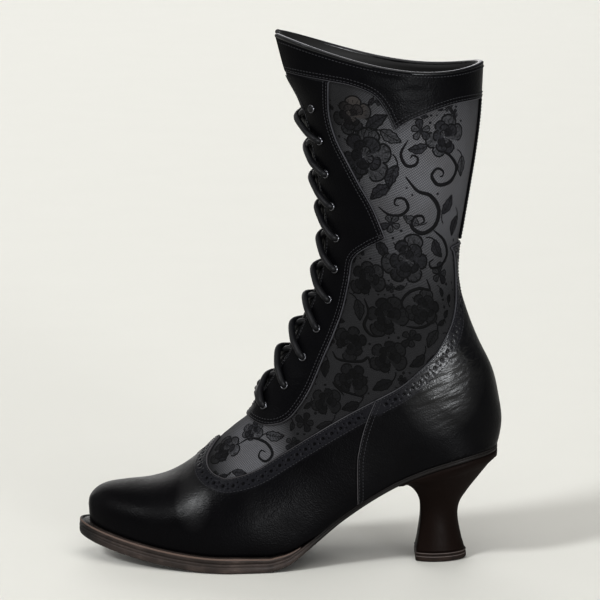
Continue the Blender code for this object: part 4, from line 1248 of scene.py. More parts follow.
def chunks(count, size):
    """Slices that take up a count in steps."""
    return [slice(start, start + size) for start in range(0, count, size)]


def inside_loop(points, loop):
    """Which chart points lie inside a closed loop."""
    found = np.zeros(len(points), bool)
    x0, y0 = loop.T[:, None]
    x1, y1 = np.roll(loop, -1, axis=0).T[:, None]
    rise = np.where(y1 == y0, 1e-12, y1 - y0)
    for part in chunks(len(points), 2000):
        x = points[part, 0][:, None]
        y = points[part, 1][:, None]
        crosses = ((y0 > y) != (y1 > y)) & (x < (x1 - x0) * (y - y0) / rise + x0)
        found[part] = crosses.sum(1) % 2 == 1
    return found


def nearest(points, targets):
    """Distance from each point to the nearest target."""
    best = np.zeros(len(points))
    for part in chunks(len(points), 300):
        gap = points[part, None] - targets[None]
        best[part] = np.sqrt((gap * gap).sum(-1).min(1))
    return best


def outer_points(places):
    """Points of places on the outer side, before folds."""
    return bare(places[:, 0], places[:, 1], np.full(len(places), -1.0))


class Spread:
    """Points that keep a distance from each other, first come first kept."""

    def __init__(self, cell):
        self.cell = cell
        self.home = {}

    def crowded(self, point, key, radius):
        """Whether a kept point is nearer than the radius."""
        reach = int(math.ceil(radius / self.cell))
        steps = range(-reach, reach + 1)
        for i in steps:
            for j in steps:
                for k in steps:
                    for other in self.home.get((key[0] + i, key[1] + j, key[2] + k), ()):
                        if ((point - other) ** 2).sum() < radius * radius:
                            return True
        return False

    def add(self, points, radius):
        """Keep the points that are clear of all kept before; returns which."""
        kept = np.zeros(len(points), bool)
        for number, point in enumerate(points):
            key = tuple(int(math.floor(c / self.cell)) for c in point)
            if not self.crowded(point, key, radius):
                self.home.setdefault(key, []).append(point)
                kept[number] = True
        return kept


def border(segments):
    """Closed outline in places from (kind, places) segments."""
    spaced = [(places, CUT_SPACING if kind == "cut" else PLAIN_SPACING) for kind, places in segments]
    return np.concatenate([even(places, spacing)[:-1] for places, spacing in spaced])


def edge_points(segments, kinds=("cut",)):
    """Close points along the edges of these kinds."""
    lines = [outer_points(even(places, FINE_SPACING)) for kind, places in segments if kind in kinds]
    return np.concatenate(lines) if lines else np.full((1, 3), FAR_POINT)


def inset(places, distance, loop, spacing=0.5):
    """A line moved into a panel by a distance across its surface, kept where it is inside."""
    line = even(places, spacing)
    flat_loop = UNROLLED.flat(loop)
    tries = []
    for sign in (1.0, -1.0):
        moved = beside(line, sign * distance)
        tries.append(moved[inside_loop(UNROLLED.flat(moved), flat_loop)])
    return max(tries, key=len)


def across_axis(out, guide):
    """Two directions square to an axis and to each other."""
    first = unit(np.cross(out, guide))
    return first, np.cross(out, first)


def ring_of(radius, points=10):
    """Points of a flat round outline."""
    turn = np.arange(points) * 2.0 * math.pi / points
    return radius * np.stack([np.cos(turn), np.sin(turn)], axis=-1)


def dimple(place, radius):
    """Places of a punched hole: its rim, its floor ring and its middle."""
    at = np.full(HOLE_POINTS, place[0]), np.full(HOLE_POINTS, place[1]), np.full(HOLE_POINTS, -1.0)
    middle = bare(*at)
    first, second = across_axis(outward(*at)[0], (0.0, 0.0, 1.0))
    rings = []
    for size in (radius, radius * HOLE_FLOOR):
        flat = ring_of(size, HOLE_POINTS)
        rings.append(drop_on(middle + flat[:, :1] * first + flat[:, 1:] * second, *at))
    return np.concatenate(rings + [np.array([place])])


def cut_out(segments, spacing, rows, holes=()):
    """Triangles of half a panel: places, faces, distance from the cut edge, and depth of punched holes."""
    loop = border(segments)
    flat_loop = UNROLLED.flat(loop)
    cut = edge_points(segments)
    far = edge_points(segments, ("tuck", "sole", "weld"))
    every_edge = np.concatenate([cut, far])
    chosen = [loop]
    depth = [np.zeros(len(loop))]
    links = [(i, (i + 1) % len(loop)) for i in range(len(loop))]
    count = len(loop)
    spread = Spread(CROWD_CELL)
    spread.add(outer_points(loop), BORDER_CROWD)
    middles = []
    for place, radius in holes:
        middle = outer_points(np.array([place]))
        crowded = [np.linalg.norm(middle[0] - other) < radius + size + HOLE_CLEAR for other, size in middles]
        if any(crowded) or nearest(middle, every_edge)[0] < radius + HOLE_OFF_EDGE:
            continue
        chosen.append(dimple(place, radius))
        depth.append(np.concatenate([np.zeros(HOLE_POINTS), np.ones(HOLE_POINTS + 1)]))
        for ring in (count, count + HOLE_POINTS):
            links += [(ring + i, ring + (i + 1) % HOLE_POINTS) for i in range(HOLE_POINTS)]
        count += len(chosen[-1])
        middles.append((middle[0], radius))

    def take(places, radius, low, high, off_border):
        """Add the places inside the panel that lie this far from its cut edge and clear of the rest."""
        places = places[inside_loop(UNROLLED.flat(places), flat_loop)]
        if not len(places):
            return
        points = outer_points(places)
        near = nearest(points, cut)
        keep = (near > low) & (near < high) & (nearest(points, far) > off_border)
        for middle, size in middles:
            keep &= np.linalg.norm(points - middle, axis=1) > size + HOLE_CLEAR
        kept = spread.add(points[keep], radius)
        chosen.append(places[keep][kept])
        depth.append(np.zeros(int(kept.sum())))

    for distance in rows:
        for kind, places in segments:
            if kind != "cut":
                continue
            line = even(places, CUT_SPACING)
            for sign in (1.0, -1.0):
                moved = beside(line, sign * distance)
                crowd = min(ROW_CROWD, distance * 0.7)
                take(moved, crowd, distance - ROW_HALF, distance + ROW_HALF, ROW_CLEAR)
    low_v = max(loop[:, 0].min() - 0.3, 0.0)
    high_v = min(loop[:, 0].max() + 0.3, float(LAST_ROW))
    grid = UNROLLED.grid(spacing, low_v, high_v)
    take(grid, spacing * GRID_CROWD, rows[-1] + GRID_OFF_ROWS, NO_LIMIT, GRID_CLEAR)
    places = np.concatenate(chosen)
    made = delaunay_2d_cdt([Vector(p) for p in UNROLLED.flat(places)], links, [], 1, 1e-6)
    source = [group[0] if group else -1 for group in made[3]]
    if min(source) < 0:
        raise RuntimeError("the outline of a panel crosses itself")
    faces = np.array([[source[i] for i in face] for face in made[2]], int)
    return places, faces, nearest(outer_points(places), cut), np.concatenate(depth)


def overlay_top(distance, grooves=(), raised=0.0):
    """Height of a panel's face over the upper: a rounded edge, and a shallow groove along each seam."""
    t = np.clip(distance / EDGE_ROUND, 0.0, 1.0)
    top = GAP + OVERLAY_WALL - EDGE_DROP * (1.0 - np.sqrt(np.maximum(1.0 - (1.0 - t) ** 2, 0.0)))
    top = top + raised * (1.0 - ease((distance - RAISED_FROM) / RAISED_RUN))
    for at in grooves:
        top = top - GROOVE_DEPTH * np.exp(-((distance - at) / GROOVE_HALF) ** 2)
    return top


def face_looks(piece, names, indices):
    """Further materials of a piece, and which one each of its faces has."""
    for name in names:
        piece.data.materials.append(material(name))
    piece.data.polygons.foreach_set("material_index", np.asarray(indices, np.int32))


def closed_piece(name, places, faces, top, bottom, mat, uv=False, distance=None, band=None):
    """Closed wall on both sides between two distances from the upper.

    With the distance from its cut edge it gets a raw edge, and with a share of painted sheen on the punched
    band a point attribute.
    """
    v, q = places[:, 0], places[:, 1]
    seam = (q > 0.99999) | (v < 1e-6) | ((q < -0.99999) & (v >= SEAT_ROW))
    open_edges = {}
    for face in faces:
        for a, b in zip(face, np.roll(face, -1)):
            key = (min(a, b), max(a, b))
            open_edges[key] = None if key in open_edges else (a, b)
    rim = [edge for edge in open_edges.values() if edge is not None and not (seam[edge[0]] and seam[edge[1]])]
    points = []
    made = []
    raw = []
    size = len(places)
    for side in (-1.0, 1.0):
        base = size * len(points)
        points.append(skin(v, q, side, top))
        points.append(skin(v, q, side, bottom))
        turn = 1 if side < 0 else -1
        made += [tuple(base + i for i in face[::turn]) for face in faces]
        made += [tuple(base + size + i for i in face[::-turn]) for face in faces]
        made += [(base + b, base + a, base + size + a, base + size + b)[::turn] for a, b in rim]
        if distance is not None:
            raw += [distance[list(face)].max() < RAW_EDGE for face in faces]
            raw += [False] * len(faces) + [True] * len(rim)
    chart = np.concatenate([UNROLLED.flat(places)] * 4) if uv else None
    piece = new_piece(name, np.concatenate(points), made, mat, uv=chart)
    if distance is not None:
        face_looks(piece, ("cut_edge",), raw)
    if band is not None:
        share = piece.data.attributes.new("band", "FLOAT", "POINT")
        share.data.foreach_set("value", np.concatenate([band] * 4).astype(np.float32))
    return weld_seams(piece)


def grid_faces(rows, columns, around=False):
    """Quads of a grid of points; around also joins the last column to the first."""
    last = columns if around else columns - 1
    i, k = np.meshgrid(np.arange(rows - 1), np.arange(last), indexing="ij")
    n = (k + 1) % columns
    corners = (i * columns + k, i * columns + n, (i + 1) * columns + n, (i + 1) * columns + k)
    return np.stack(corners, axis=-1).reshape(-1, 4)


def gather(parts):
    """Several (points, faces) as one."""
    points = []
    faces = []
    count = 0
    for made_points, made_faces in parts:
        points.append(made_points)
        faces += [tuple(count + i for i in face) for face in made_faces]
        count += len(made_points)
    return np.concatenate(points), faces


def sew(name, paths, lift):
    """Small stitches along paths of places, on both sides."""
    sizes = bpy.context.scene.boot_sizes
    shape = []
    for share, fat in STITCH_PROFILE:
        ring = ring_of(fat * sizes.stitch_width / 2.0, STITCH_SIDES)
        arch = STITCH_ARCH * (1.0 - (share / STITCH_PROFILE[-1][0]) ** 2)
        shape += [(share * sizes.stitch_pitch, a, b + arch) for a, b in ring]
    shape = np.array(shape)[None]
    quads = grid_faces(len(STITCH_PROFILE), STITCH_SIDES, True)
    parts = []
    for path in paths:
        line = even(path, sizes.stitch_pitch)
        if len(line) < 3:
            continue
        v, q = line[:, 0], line[:, 1]
        for side in (-1.0, 1.0):
            spots = skin(v, q, side, np.full(len(line), lift))
            middle = (spots[1:] + spots[:-1]) / 2.0
            run = unit(spots[1:] - spots[:-1])
            out = outward(v, q, np.full(len(v), side))
            across = unit(np.cross((out[1:] + out[:-1]) / 2.0, run))
            out = np.cross(run, across)
            made = middle[:, None] + run[:, None] * shape[..., :1] + across[:, None] * shape[..., 1:2]
            made = made + out[:, None] * shape[..., 2:]
            parts += [(stitch, quads) for stitch in made]
    points, faces = gather(parts)
    new_piece(name, points, faces, material("thread"))


def tube(path, radius, sides=12, ups=None):
    """Points and faces of a closed tube along a path of points in millimetres."""
    path = np.asarray(path, float)
    radius = np.broadcast_to(np.asarray(radius, float), (len(path),))
    run = unit(np.gradient(path, axis=0))
    across = np.zeros_like(path)
    guide = np.array((0.3, 0.2, 0.93))
    for i in range(len(path)):
        if ups is not None:
            guide = ups[i]
        guide = unit(guide - run[i] * (guide @ run[i]))
        across[i] = guide
    other = np.cross(run, across)
    flat = ring_of(1.0, sides)
    ring = flat[None, :, :1] * across[:, None] + flat[None, :, 1:] * other[:, None]
    points = (path[:, None] + ring * radius[:, None, None]).reshape(-1, 3)
    faces = [tuple(face) for face in grid_faces(len(path), sides, True)]
    faces.append(tuple(range(sides))[::-1])
    faces.append(tuple(range(len(points) - sides, len(points))))
    return points, faces


def shell_marks(counts):
    """Rows of a shell: so many at the tip, along the foot, round the seat and up the shaft."""
    stops = (0.0, 1.0, 16.0, 19.0, LAST_ROW)
    runs = [np.linspace(low, high, count) for low, high, count in zip(stops, stops[1:], counts)]
    return np.unique(np.concatenate(runs + [[V_THROAT]]).round(6))


def shell_grid(marks, columns):
    """Places in rows from the sole or back seam to the throat's edge, evenly round each section."""
    places = []
    for v in marks:
        end = float(q_throat(v))
        q = np.linspace(-1.0, end, 161)
        run = lengths(bare(np.full(161, v), q, np.full(161, -1.0)))
        row = np.interp(np.linspace(0.0, run[-1], columns), run, q)
        row[0] = -1.0
        row[-1] = end
        places.append(np.stack([np.full(columns, v), row], axis=-1))
    return np.concatenate(places), grid_faces(len(marks), columns)


def make_upper():
    """The net shell, with its own wall, and the lining inside it."""
    places, faces = shell_grid(shell_marks((17, 121, 37, 97)), 61)
    net = material("lace_net")
    shell = closed_piece("upper_shell", places, faces, 0.0, NET_INNER, net, uv=True)
    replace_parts(shell, "upper")
    places, faces = shell_grid(shell_marks((7, 61, 19, 49)), 33)
    hide = material("lining_leather")
    closed_piece("lining", places, faces, LINING_OUTER, -UPPER_WALL, hide)


# The drawn panel edges as places on the boot
SEAMS = {
    "vamp_top": inside_boot(smooth(VAMP_TOP)),
    "side_seam": inside_boot(smooth(SIDE_SEAM)),
    "counter_top": inside_boot(smooth(COUNTER_TOP)),
    "cuff_low": inside_boot(smooth(CUFF_LOW, CUFF_POINT)),
    "eyestay_rear": inside_boot(smooth(EYESTAY_REAR, EYESTAY_POINT)),
}


def straight(first, last, count=60):
    """Straight run of places between two places."""
    return np.linspace(np.array(first, float), np.array(last, float), count)


def at_throat(line):
    """The part of a line behind the facing's edge, starting on that edge; the line starts at the front."""
    over = line[:, 1] - q_throat(line[:, 0])
    first = int(np.argmin(over >= 0.0))
    if first == 0:
        return line
    start = blend(line[first - 1], line[first], over[first - 1] / (over[first - 1] - over[first]))
    start[1] = float(q_throat(start[0]))
    return np.concatenate([[start], line[first:]])


def facing_edge(low, high, count=160):
    """Places up the facing's edge."""
    v = np.linspace(low, high, count)
    return np.stack([v, q_throat(v)], axis=-1)


def vamp_outline():
    """Outline of the vamp: top edge, side seam, sole, toe and ridge."""
    top = SEAMS["vamp_top"]
    seam = SEAMS["side_seam"]
    return [
        ("cut", top),
        ("tuck", seam),
        ("sole", straight(seam[-1], (0.0, -1.0), 300)),
        ("weld", straight((0.0, -1.0), (0.0, 1.0), 80)),
        ("weld", straight((0.0, 1.0), top[0], 200)),
    ]


def counter_outline():
    """Outline of the counter: top edge, back seam, sole and side seam."""
    top = SEAMS["counter_top"]
    seam = SEAMS["side_seam"]
    seat = (float(SEAT_ROW), -1.0)
    return [
        ("cut", top),
        ("weld", straight(top[-1], seat, 120)),
        ("sole", straight(seat, seam[-1], 200)),
        ("cut", seam[::-1]),
    ]


def cuff_outline():
    """Outline of the cuff: dropped lower edge, back seam, collar and facing."""
    low = at_throat(SEAMS["cuff_low"])
    high = float(LAST_ROW)
    return [
        ("cut", low),
        ("weld", straight(low[-1], (high, -1.0), 40)),
        ("tuck", straight((high, -1.0), (high, float(q_throat(high))), 120)),
        ("cut", facing_edge(low[0, 0], high, 60)[::-1]),
    ]


def seen_from_side(places):
    """Side-view points of places."""
    return side_view(places[:, 0], rise_and_width(places[:, 0], places[:, 1])[0])


def eyestay_outline():
    """Outline of the facings: rear edge, ridge under the throat, throat edge and the cuff's edge."""
    rear = SEAMS["eyestay_rear"]
    cuff = at_throat(SEAMS["cuff_low"])
    spots = seen_from_side(cuff)
    turn = int(np.argmax(spots[:, 0] > EYESTAY_REAR[0][0]))
    edge = cuff[:turn + 1]
    below = int(np.argmax(seen_from_side(rear)[:, 1] < spots[turn, 1] - 0.6))
    rear = np.concatenate([edge[-1:], rear[below:]])
    return [
        ("cut", rear),
        ("weld", straight(rear[-1], (V_THROAT, 1.0), 40)),
        ("cut", facing_edge(V_THROAT, edge[0, 0], 220)),
        ("tuck", edge),
    ]


def strip_outline():
    """Outline of half the back strip between counter and cuff."""
    low = on_back(COUNTER_BACK_Z) + 0.01
    high = on_back(CUFF_BACK_Z) - 0.01
    v = np.linspace(low, high, 80)
    side = np.stack([v, q_at_back(v, BACK_STRIP_HALF)], axis=-1)
    return [
        ("cut", side),
        ("tuck", straight(side[-1], (high, -1.0), 12)),
        ("weld", straight((high, -1.0), (low, -1.0), 80)),
        ("tuck", straight((low, -1.0), side[0], 12)),
    ]


def punched(path):
    """Punched holes along a path: large ones, with pairs of small ones between them."""
    sizes = bpy.context.scene.boot_sizes
    line = even(path, sizes.punch_pitch / 2.0)
    fine = even(path, sizes.punch_pitch / 20.0)
    holes = [(tuple(p), sizes.punch_large) for p in line[1:-1:2]]
    for sign in (1.0, -1.0):
        holes += [(tuple(p), sizes.punch_small) for p in beside(fine, sign * PUNCH_OFF)[20:-10:20]]
    return holes


def gap_to(places, line):
    """Distance of places from a line of places."""
    return nearest(outer_points(places), edge_points([("cut", line)]))


def sewn_panel(node, outline, spacing, seams, paths, lift=THREAD_SUNK, raised=0.0, raw=True,
               hide="black_leather", top_edge=None, lap=None):
    """One leather panel, punched along a top edge and raised where it laps over a seam.

    Returns the lines of its stitches and their height.
    """
    loop = border(outline)
    holes = ()
    if top_edge is not None:
        holes = punched(inset(top_edge, bpy.context.scene.boot_sizes.band_middle, loop)[3:-3])
    rows = CUT_ROWS if top_edge is None else PUNCHED_ROWS
    places, faces, distance, depth = cut_out(outline, spacing, rows, holes)
    top = overlay_top(distance, seams, raised) - PUNCH_DEPTH * depth
    if lap is not None:
        top = top + LAP_RISE * (1.0 - ease((gap_to(places, lap) - LAP_FROM) / LAP_RUN))
    # Share of painted sheen on the punched band, left out of the holes
    band = None
    if top_edge is not None:
        band = 1.0 - ease((gap_to(places, top_edge) - BAND_FULL) / BAND_FADE)
        band = band * (1.0 - ease(depth / 0.3))
    piece = closed_piece(node + "_leather", places, faces, top, GAP, material(hide),
                         distance=distance if raw else None, band=band)
    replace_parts(piece, node)
    lines = [inset(path, at, loop) for path, offsets in paths for at in offsets]
    return lines, GAP + OVERLAY_WALL + lift


def make_vamp():
    """Toe and vamp panel with its punched top edge."""
    top = SEAMS["vamp_top"]
    lines, lift = sewn_panel("vamp", vamp_outline(), PUNCHED_SPACING, BAND_SEAMS, [(top, BAND_SEAMS)],
                             top_edge=top)
    sew("vamp_stitches", lines, lift)


def make_counter():
    """Heel panel with its punched top edge, over the vamp at the side seam."""
    top = SEAMS["counter_top"]
    seam = SEAMS["side_seam"]
    paths = [(top, BAND_SEAMS), (seam, LAPPED_SEAM)]
    lines, lift = sewn_panel("counter", counter_outline(), PUNCHED_SPACING, BAND_SEAMS, paths, LAP_THREAD,
                             hide="counter_hide", top_edge=top, lap=seam)
    sew("counter_stitches", lines, lift)


def make_cuff():
    """Collar band with its dropped point, bound along the top."""
    paths = [(at_throat(SEAMS["cuff_low"]), DOUBLE_SEAM)]
    lines, lift = sewn_panel("cuff", cuff_outline(), SMOOTH_SPACING, DOUBLE_SEAM[:1], paths, CUFF_THREAD,
                             raised=CUFF_RAISED)
    end = float(q_throat(LAST_ROW))
    under_binding = LAST_ROW - BINDING_SEAM
    lines.append(straight((under_binding, end - 0.04), (under_binding, -0.99), 200))
    sew("cuff_stitches", lines, lift)
    q = np.concatenate([np.linspace(end, -1.0, BINDING_POINTS), np.linspace(-1.0, end, BINDING_POINTS)[1:]])
    side = np.where(np.arange(len(q)) < BINDING_POINTS, -1.0, 1.0)
    v = np.full(len(q), float(LAST_ROW))
    out = outward(v, q, side)
    path = bare(v, q, side) + out * BINDING_IN
    path[:, 2] -= BINDING_DOWN
    points, quads = tube(path, BINDING_RADIUS, BINDING_SIDES, out)
    middle = np.repeat(path[:, 2], BINDING_SIDES)
    rise = (points[:, 2] - middle) * BINDING_SQUASH
    points[:, 2] = middle + rise
    binding = new_piece("collar_binding", points, quads, material("binding"))
    # The faces on the binding's crest get the painted highlight
    face_looks(binding, ("rubbed_rim",), [(rise[list(quad)] > BINDING_CREST).all() for quad in quads])


def make_eyestay():
    """Facings with stitched edges."""
    outline = eyestay_outline()
    paths = [(outline[0][1], DOUBLE_SEAM), (outline[2][1], THROAT_SEAM)]
    lines, lift = sewn_panel("eyestay", outline, SMOOTH_SPACING, DOUBLE_SEAM[:1], paths)
    sew("eyestay_stitches", lines, lift)


def make_back_strip():
    """Strip on the back seam."""
    outline = strip_outline()
    paths = [(outline[0][1], STRIP_SEAM)]
    lines, lift = sewn_panel("back_strip", outline, STRIP_SPACING, STRIP_SEAM, paths, raw=False)
    sew("back_strip_stitches", lines, lift)


def make_tongue():
    """Sheet behind the lacing, swelling out between the facings."""
    low = V_THROAT - TONGUE_BELOW
    high = LAST_ROW - TONGUE_SHORT
    places = []
    for v in np.linspace(low, high, TONGUE_ROWS):
        reach = float(throat_half(v)) + blend(*TONGUE_LAPS, (v - low) / (high - low))
        q = np.linspace(float(q_at_width(v, reach)), 1.0, TONGUE_COLUMNS)
        places.append(np.stack([np.full(TONGUE_COLUMNS, v), q], axis=-1))
    places = np.concatenate(places)
    facing = q_throat(places[:, 0])
    swell = TONGUE_SWELL * ease((places[:, 1] - facing) / (1.0 - facing) * 1.6)
    far = -(UPPER_WALL + TONGUE_CLEAR) + swell
    piece = closed_piece("tongue_leather", places, grid_faces(TONGUE_ROWS, TONGUE_COLUMNS), far,
                         far - TONGUE_WALL, material("tongue_leather"))
    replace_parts(piece, "tongue")


def level_of(x, middle, height, half, closed_tip=True):
    """One level of a stacked solid: rows of x, middle, height and half width; the ends close to a point."""
    half = np.maximum(half, 0.0)
    half[-1] = 0.0
    if closed_tip:
        half[0] = 0.0
    return np.stack([x, middle, height, half], axis=-1)


def stacked(name, levels, finish):
    """Solid piece through closed levels, one over the other."""
    levels = np.asarray(levels)
    near = levels[:, :, :3].copy()
    far = levels[:, ::-1, :3].copy()
    near[:, :, 1] -= levels[:, :, 3]
    far[:, :, 1] += levels[:, ::-1, 3]
    rings = np.concatenate([near, far], axis=1)
    size = rings.shape[1]
    faces = [tuple(face) for face in grid_faces(len(levels), size, True)]
    for low in (0, (len(levels) - 1) * size):
        high = low + size - 1
        faces += [(low + k, low + k + 1, high - k - 1, high - k) for k in range(size // 2 - 1)]
    return weld_seams(new_piece(name, rings.reshape(-1, 3), faces, material(finish)))


def crowded_ends(first, last, stations):
    """Stations between two ends, closer at both."""
    return blend(first, last, (1.0 - np.cos(np.linspace(0.0, math.pi, stations))) / 2.0)


def make_outsole():
    """Outsole with a rounded lower edge and a groove along its side."""
    levels = []
    for inset_by, share in OUTSOLE_PROFILE:
        tip = BALL_X - TOE_LENGTH - float(sole_margin(0.0)) - SOLE_TIP + inset_by
        x = crowded_ends(tip, HEEL_X + HEEL_LENGTH + float(sole_margin(HEEL_X)) - inset_by, 150)
        half = plan_half(x, sole_margin(x) - inset_by, SOLE_TIP)
        levels.append(level_of(x, plan_middle(x), blend(sole_under(x), sole_top(x), share), half))
    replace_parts(stacked("outsole_worn", levels, "sole_edge"), "outsole")


def make_insole():
    """Inner sole covered with a sock."""
    levels = []
    for inset_by, share in INSOLE_PROFILE:
        margin = -INSOLE_INSET - inset_by
        x = crowded_ends(BALL_X - TOE_LENGTH - margin, HEEL_X + HEEL_LENGTH + margin, 120)
        low = sole_top(x) + GAP
        height = low + share * (INSOLE_WALL + welt_rise(x) * 0.5)
        levels.append(level_of(x, plan_middle(x), height, plan_half(x, margin)))
    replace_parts(stacked("insole_sock", levels, "lining_leather"), "insole")


def make_welt():
    """Welt round the front, grooved on top and lighter along its upper edge, partly as rubbed wear and partly
    as a painted highlight.
    """
    share = np.linspace(0.0, 1.0, WELT_STATIONS) ** WELT_CROWD
    rings = []
    for inset_by, height in WELT_PROFILE + ((None, 1.0), (None, 0.0)):
        if inset_by is None:
            x = blend(BALL_X - TOE_LENGTH + WELT_INSET, WELT_END, share)
            half = plan_half(x, -WELT_INSET)
        else:
            x = blend(BALL_X - TOE_LENGTH - float(sole_margin(0.0)) - SOLE_TIP + inset_by, WELT_END, share)
            half = plan_half(x, sole_margin(x) - inset_by, SOLE_TIP)
        half = np.maximum(half, 0.0)
        half[0] = 0.0
        low = sole_top(x) + GAP - WELT_SUNK
        top = sole_top(x) + welt_rise(x) - WELT_EASE * ease((x - BALL_X) / (WELT_FADE_FROM - BALL_X))
        z = blend(low, np.maximum(top, low + 0.05), height)
        near = np.stack([x, plan_middle(x) - half, z], axis=-1)[::-1]
        far = np.stack([x, plan_middle(x) + half, z], axis=-1)[1:]
        rings.append(np.concatenate([near, far]))
    count = len(rings[0])
    size = len(rings)
    faces = [tuple(face) for face in grid_faces(size + 1, count) % (size * count)]
    faces.append(tuple(r * count for r in range(size)))
    faces.append(tuple(r * count + count - 1 for r in range(size))[::-1])
    piece = new_piece("welt_strip", np.concatenate(rings), faces, material("sole_edge"))
    row = np.arange(len(faces)) // (count - 1)
    # The welt's upper edge is lighter, partly as wear and partly as a painted highlight
    face_looks(piece, ("worn_edge",), (row == 1) | (row == 2))
    weld_seams(piece)
    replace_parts(piece, "welt")


def heel_outline(h):
    """Half width of a heel section from breast (0) to back (1), as a share of its widest."""
    front = 1.0 - (1.0 - HEEL_BREAST) * (np.maximum(HEEL_WIDE_AT - h, 0.0) / HEEL_WIDE_AT) ** 2
    back = np.sqrt(np.maximum(1.0 - (np.maximum(h - HEEL_WIDE_AT, 0.0) / (1.0 - HEEL_WIDE_AT)) ** 2, 0.0))
    return np.where(h < HEEL_WIDE_AT, front, back)


def heel_shares():
    """Places from breast to back, crowded where the outline turns."""
    front = np.linspace(0.0, HEEL_WIDE_AT, 12)
    back = HEEL_WIDE_AT + (1.0 - HEEL_WIDE_AT) * np.sin(np.linspace(0.0, math.pi / 2.0, 36))
    return np.concatenate([front, back[1:]])


def make_heel():
    """Curved, covered heel and its stepped top piece."""
    h = heel_shares()
    table = np.array(HEEL_SECTIONS)
    levels = []
    for t in np.linspace(0.0, len(table) - 1.0, 49):
        front_x, front_z, back_x, back_z, half = [float(through(values, t)) for values in table.T]
        x = blend(front_x, back_x, h)
        levels.append(level_of(x, np.zeros_like(h), blend(front_z, back_z, h), half * heel_outline(h), False))
    tail = HEEL_X + HEEL_LENGTH + float(sole_margin(HEEL_X))
    x = blend(HEEL_SEAT_FROM + HEEL_LIP, tail - NECK_SHORT, h)
    half = plan_half(x, sole_margin(x)) * blend(*NECK_WIDTHS, ease(h * 4.0))
    z = sole_under(x) - GAP - blend(*NECK_DROPS, ease(h * 3.0))
    levels.append(level_of(x, plan_middle(x), z, half, False))
    for lift, grow in SEAT_ROWS:
        x = blend(HEEL_SEAT_FROM + HEEL_LIP * (1.0 - grow), tail, h)
        half = plan_half(x, sole_margin(x)) * blend(NECK_WIDTHS[1], 1.0, grow)
        height = blend(z, sole_under(x) - SEAT_CLEAR, lift)
        levels.append(level_of(x, plan_middle(x), height, half, False))
    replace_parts(stacked("heel_covered", levels, "heel_cover"), "heel")
    front_x, _, back_x, _, half = HEEL_SECTIONS[0]
    levels = []
    for height, step in TOP_PIECE_PROFILE:
        grow = LIFT_GROW - step
        x = blend(front_x - grow * 0.6, back_x + grow, h)
        z = np.full_like(h, height)
        levels.append(level_of(x, np.zeros_like(h), z, (half + grow) * heel_outline(h), False))
    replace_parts(stacked("heel_tip", levels, "top_piece_rubber"), "heel_top_piece")


def eyelet_places():
    """The place of each eyelet, spaced evenly up the facing."""
    low = find(FRONT_Z, EYELET_LOW, 9.0, float(LAST_ROW))
    high = find(FRONT_Z, EYELET_HIGH, 9.0, float(LAST_ROW))
    marks = np.linspace(low, high, 401)
    run = lengths(outer_points(np.stack([marks, q_throat(marks)], axis=-1)))
    v = np.interp(np.linspace(0.0, run[-1], EYELET_ROWS), run, marks)
    return np.stack([v, q_at_width(v, throat_half(v) + EYELET_INSET)], axis=-1)


def make_eyelets():
    """Rolled metal rings with a barrel through the facing."""
    roll = [(radius, GAP + OVERLAY_WALL + height) for radius, height in EYELET_ROLL]
    profile = [(roll[0][0], EYELET_BARREL)] + roll + [(roll[-1][0], EYELET_BARREL)]
    count = len(profile) * EYELET_SEGMENTS
    faces = grid_faces(len(profile) + 1, EYELET_SEGMENTS, True) % count
    for side, word in ((-1.0, "outer"), (1.0, "inner")):
        parts = []
        for v, q in eyelet_places():
            at = np.array([v]), np.array([q]), np.array([side])
            out = outward(*at)[0]
            first, second = across_axis(out, (0.0, 1.0, 0.0))
            points = []
            for radius, height in profile:
                flat = ring_of(radius, EYELET_SEGMENTS)
                points.append(bare(*at) + flat[:, :1] * first + flat[:, 1:] * second + out * height)
            parts.append((np.concatenate(points), faces))
        points, quads = gather(parts)
        piece = new_piece("eyelets_" + word, points, quads, material("eyelet_metal"))
        weld_seams(piece, 1e-7)
        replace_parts(piece, *["eyelet_%s_%02d" % (word, n + 1) for n in range(EYELET_ROWS)])


def cord_stop(v, q, side, lift, girth=1.0):
    """One point of the cord over the upper, and the share of its thickness there."""
    point = skin(np.array([float(v)]), np.array([float(q)]), side, float(lift))[0]
    return (*point, girth)


def cord(stops, radius):
    """Tube of cord along a smooth path through its stops."""
    stops = np.asarray(stops, float)
    t = np.linspace(0.0, len(stops) - 1.0, (len(stops) - 1) * 24 + 1)
    fine = np.stack([through(values, t) for values in stops.T], axis=-1)
    run = lengths(fine[:, :3])
    at = np.linspace(0.0, run[-1], int(run[-1] / CORD_SPACING) + 2)
    path = np.stack([np.interp(at, run, values) for values in fine.T], axis=-1)
    return tube(path[:, :3], radius * path[:, 3])


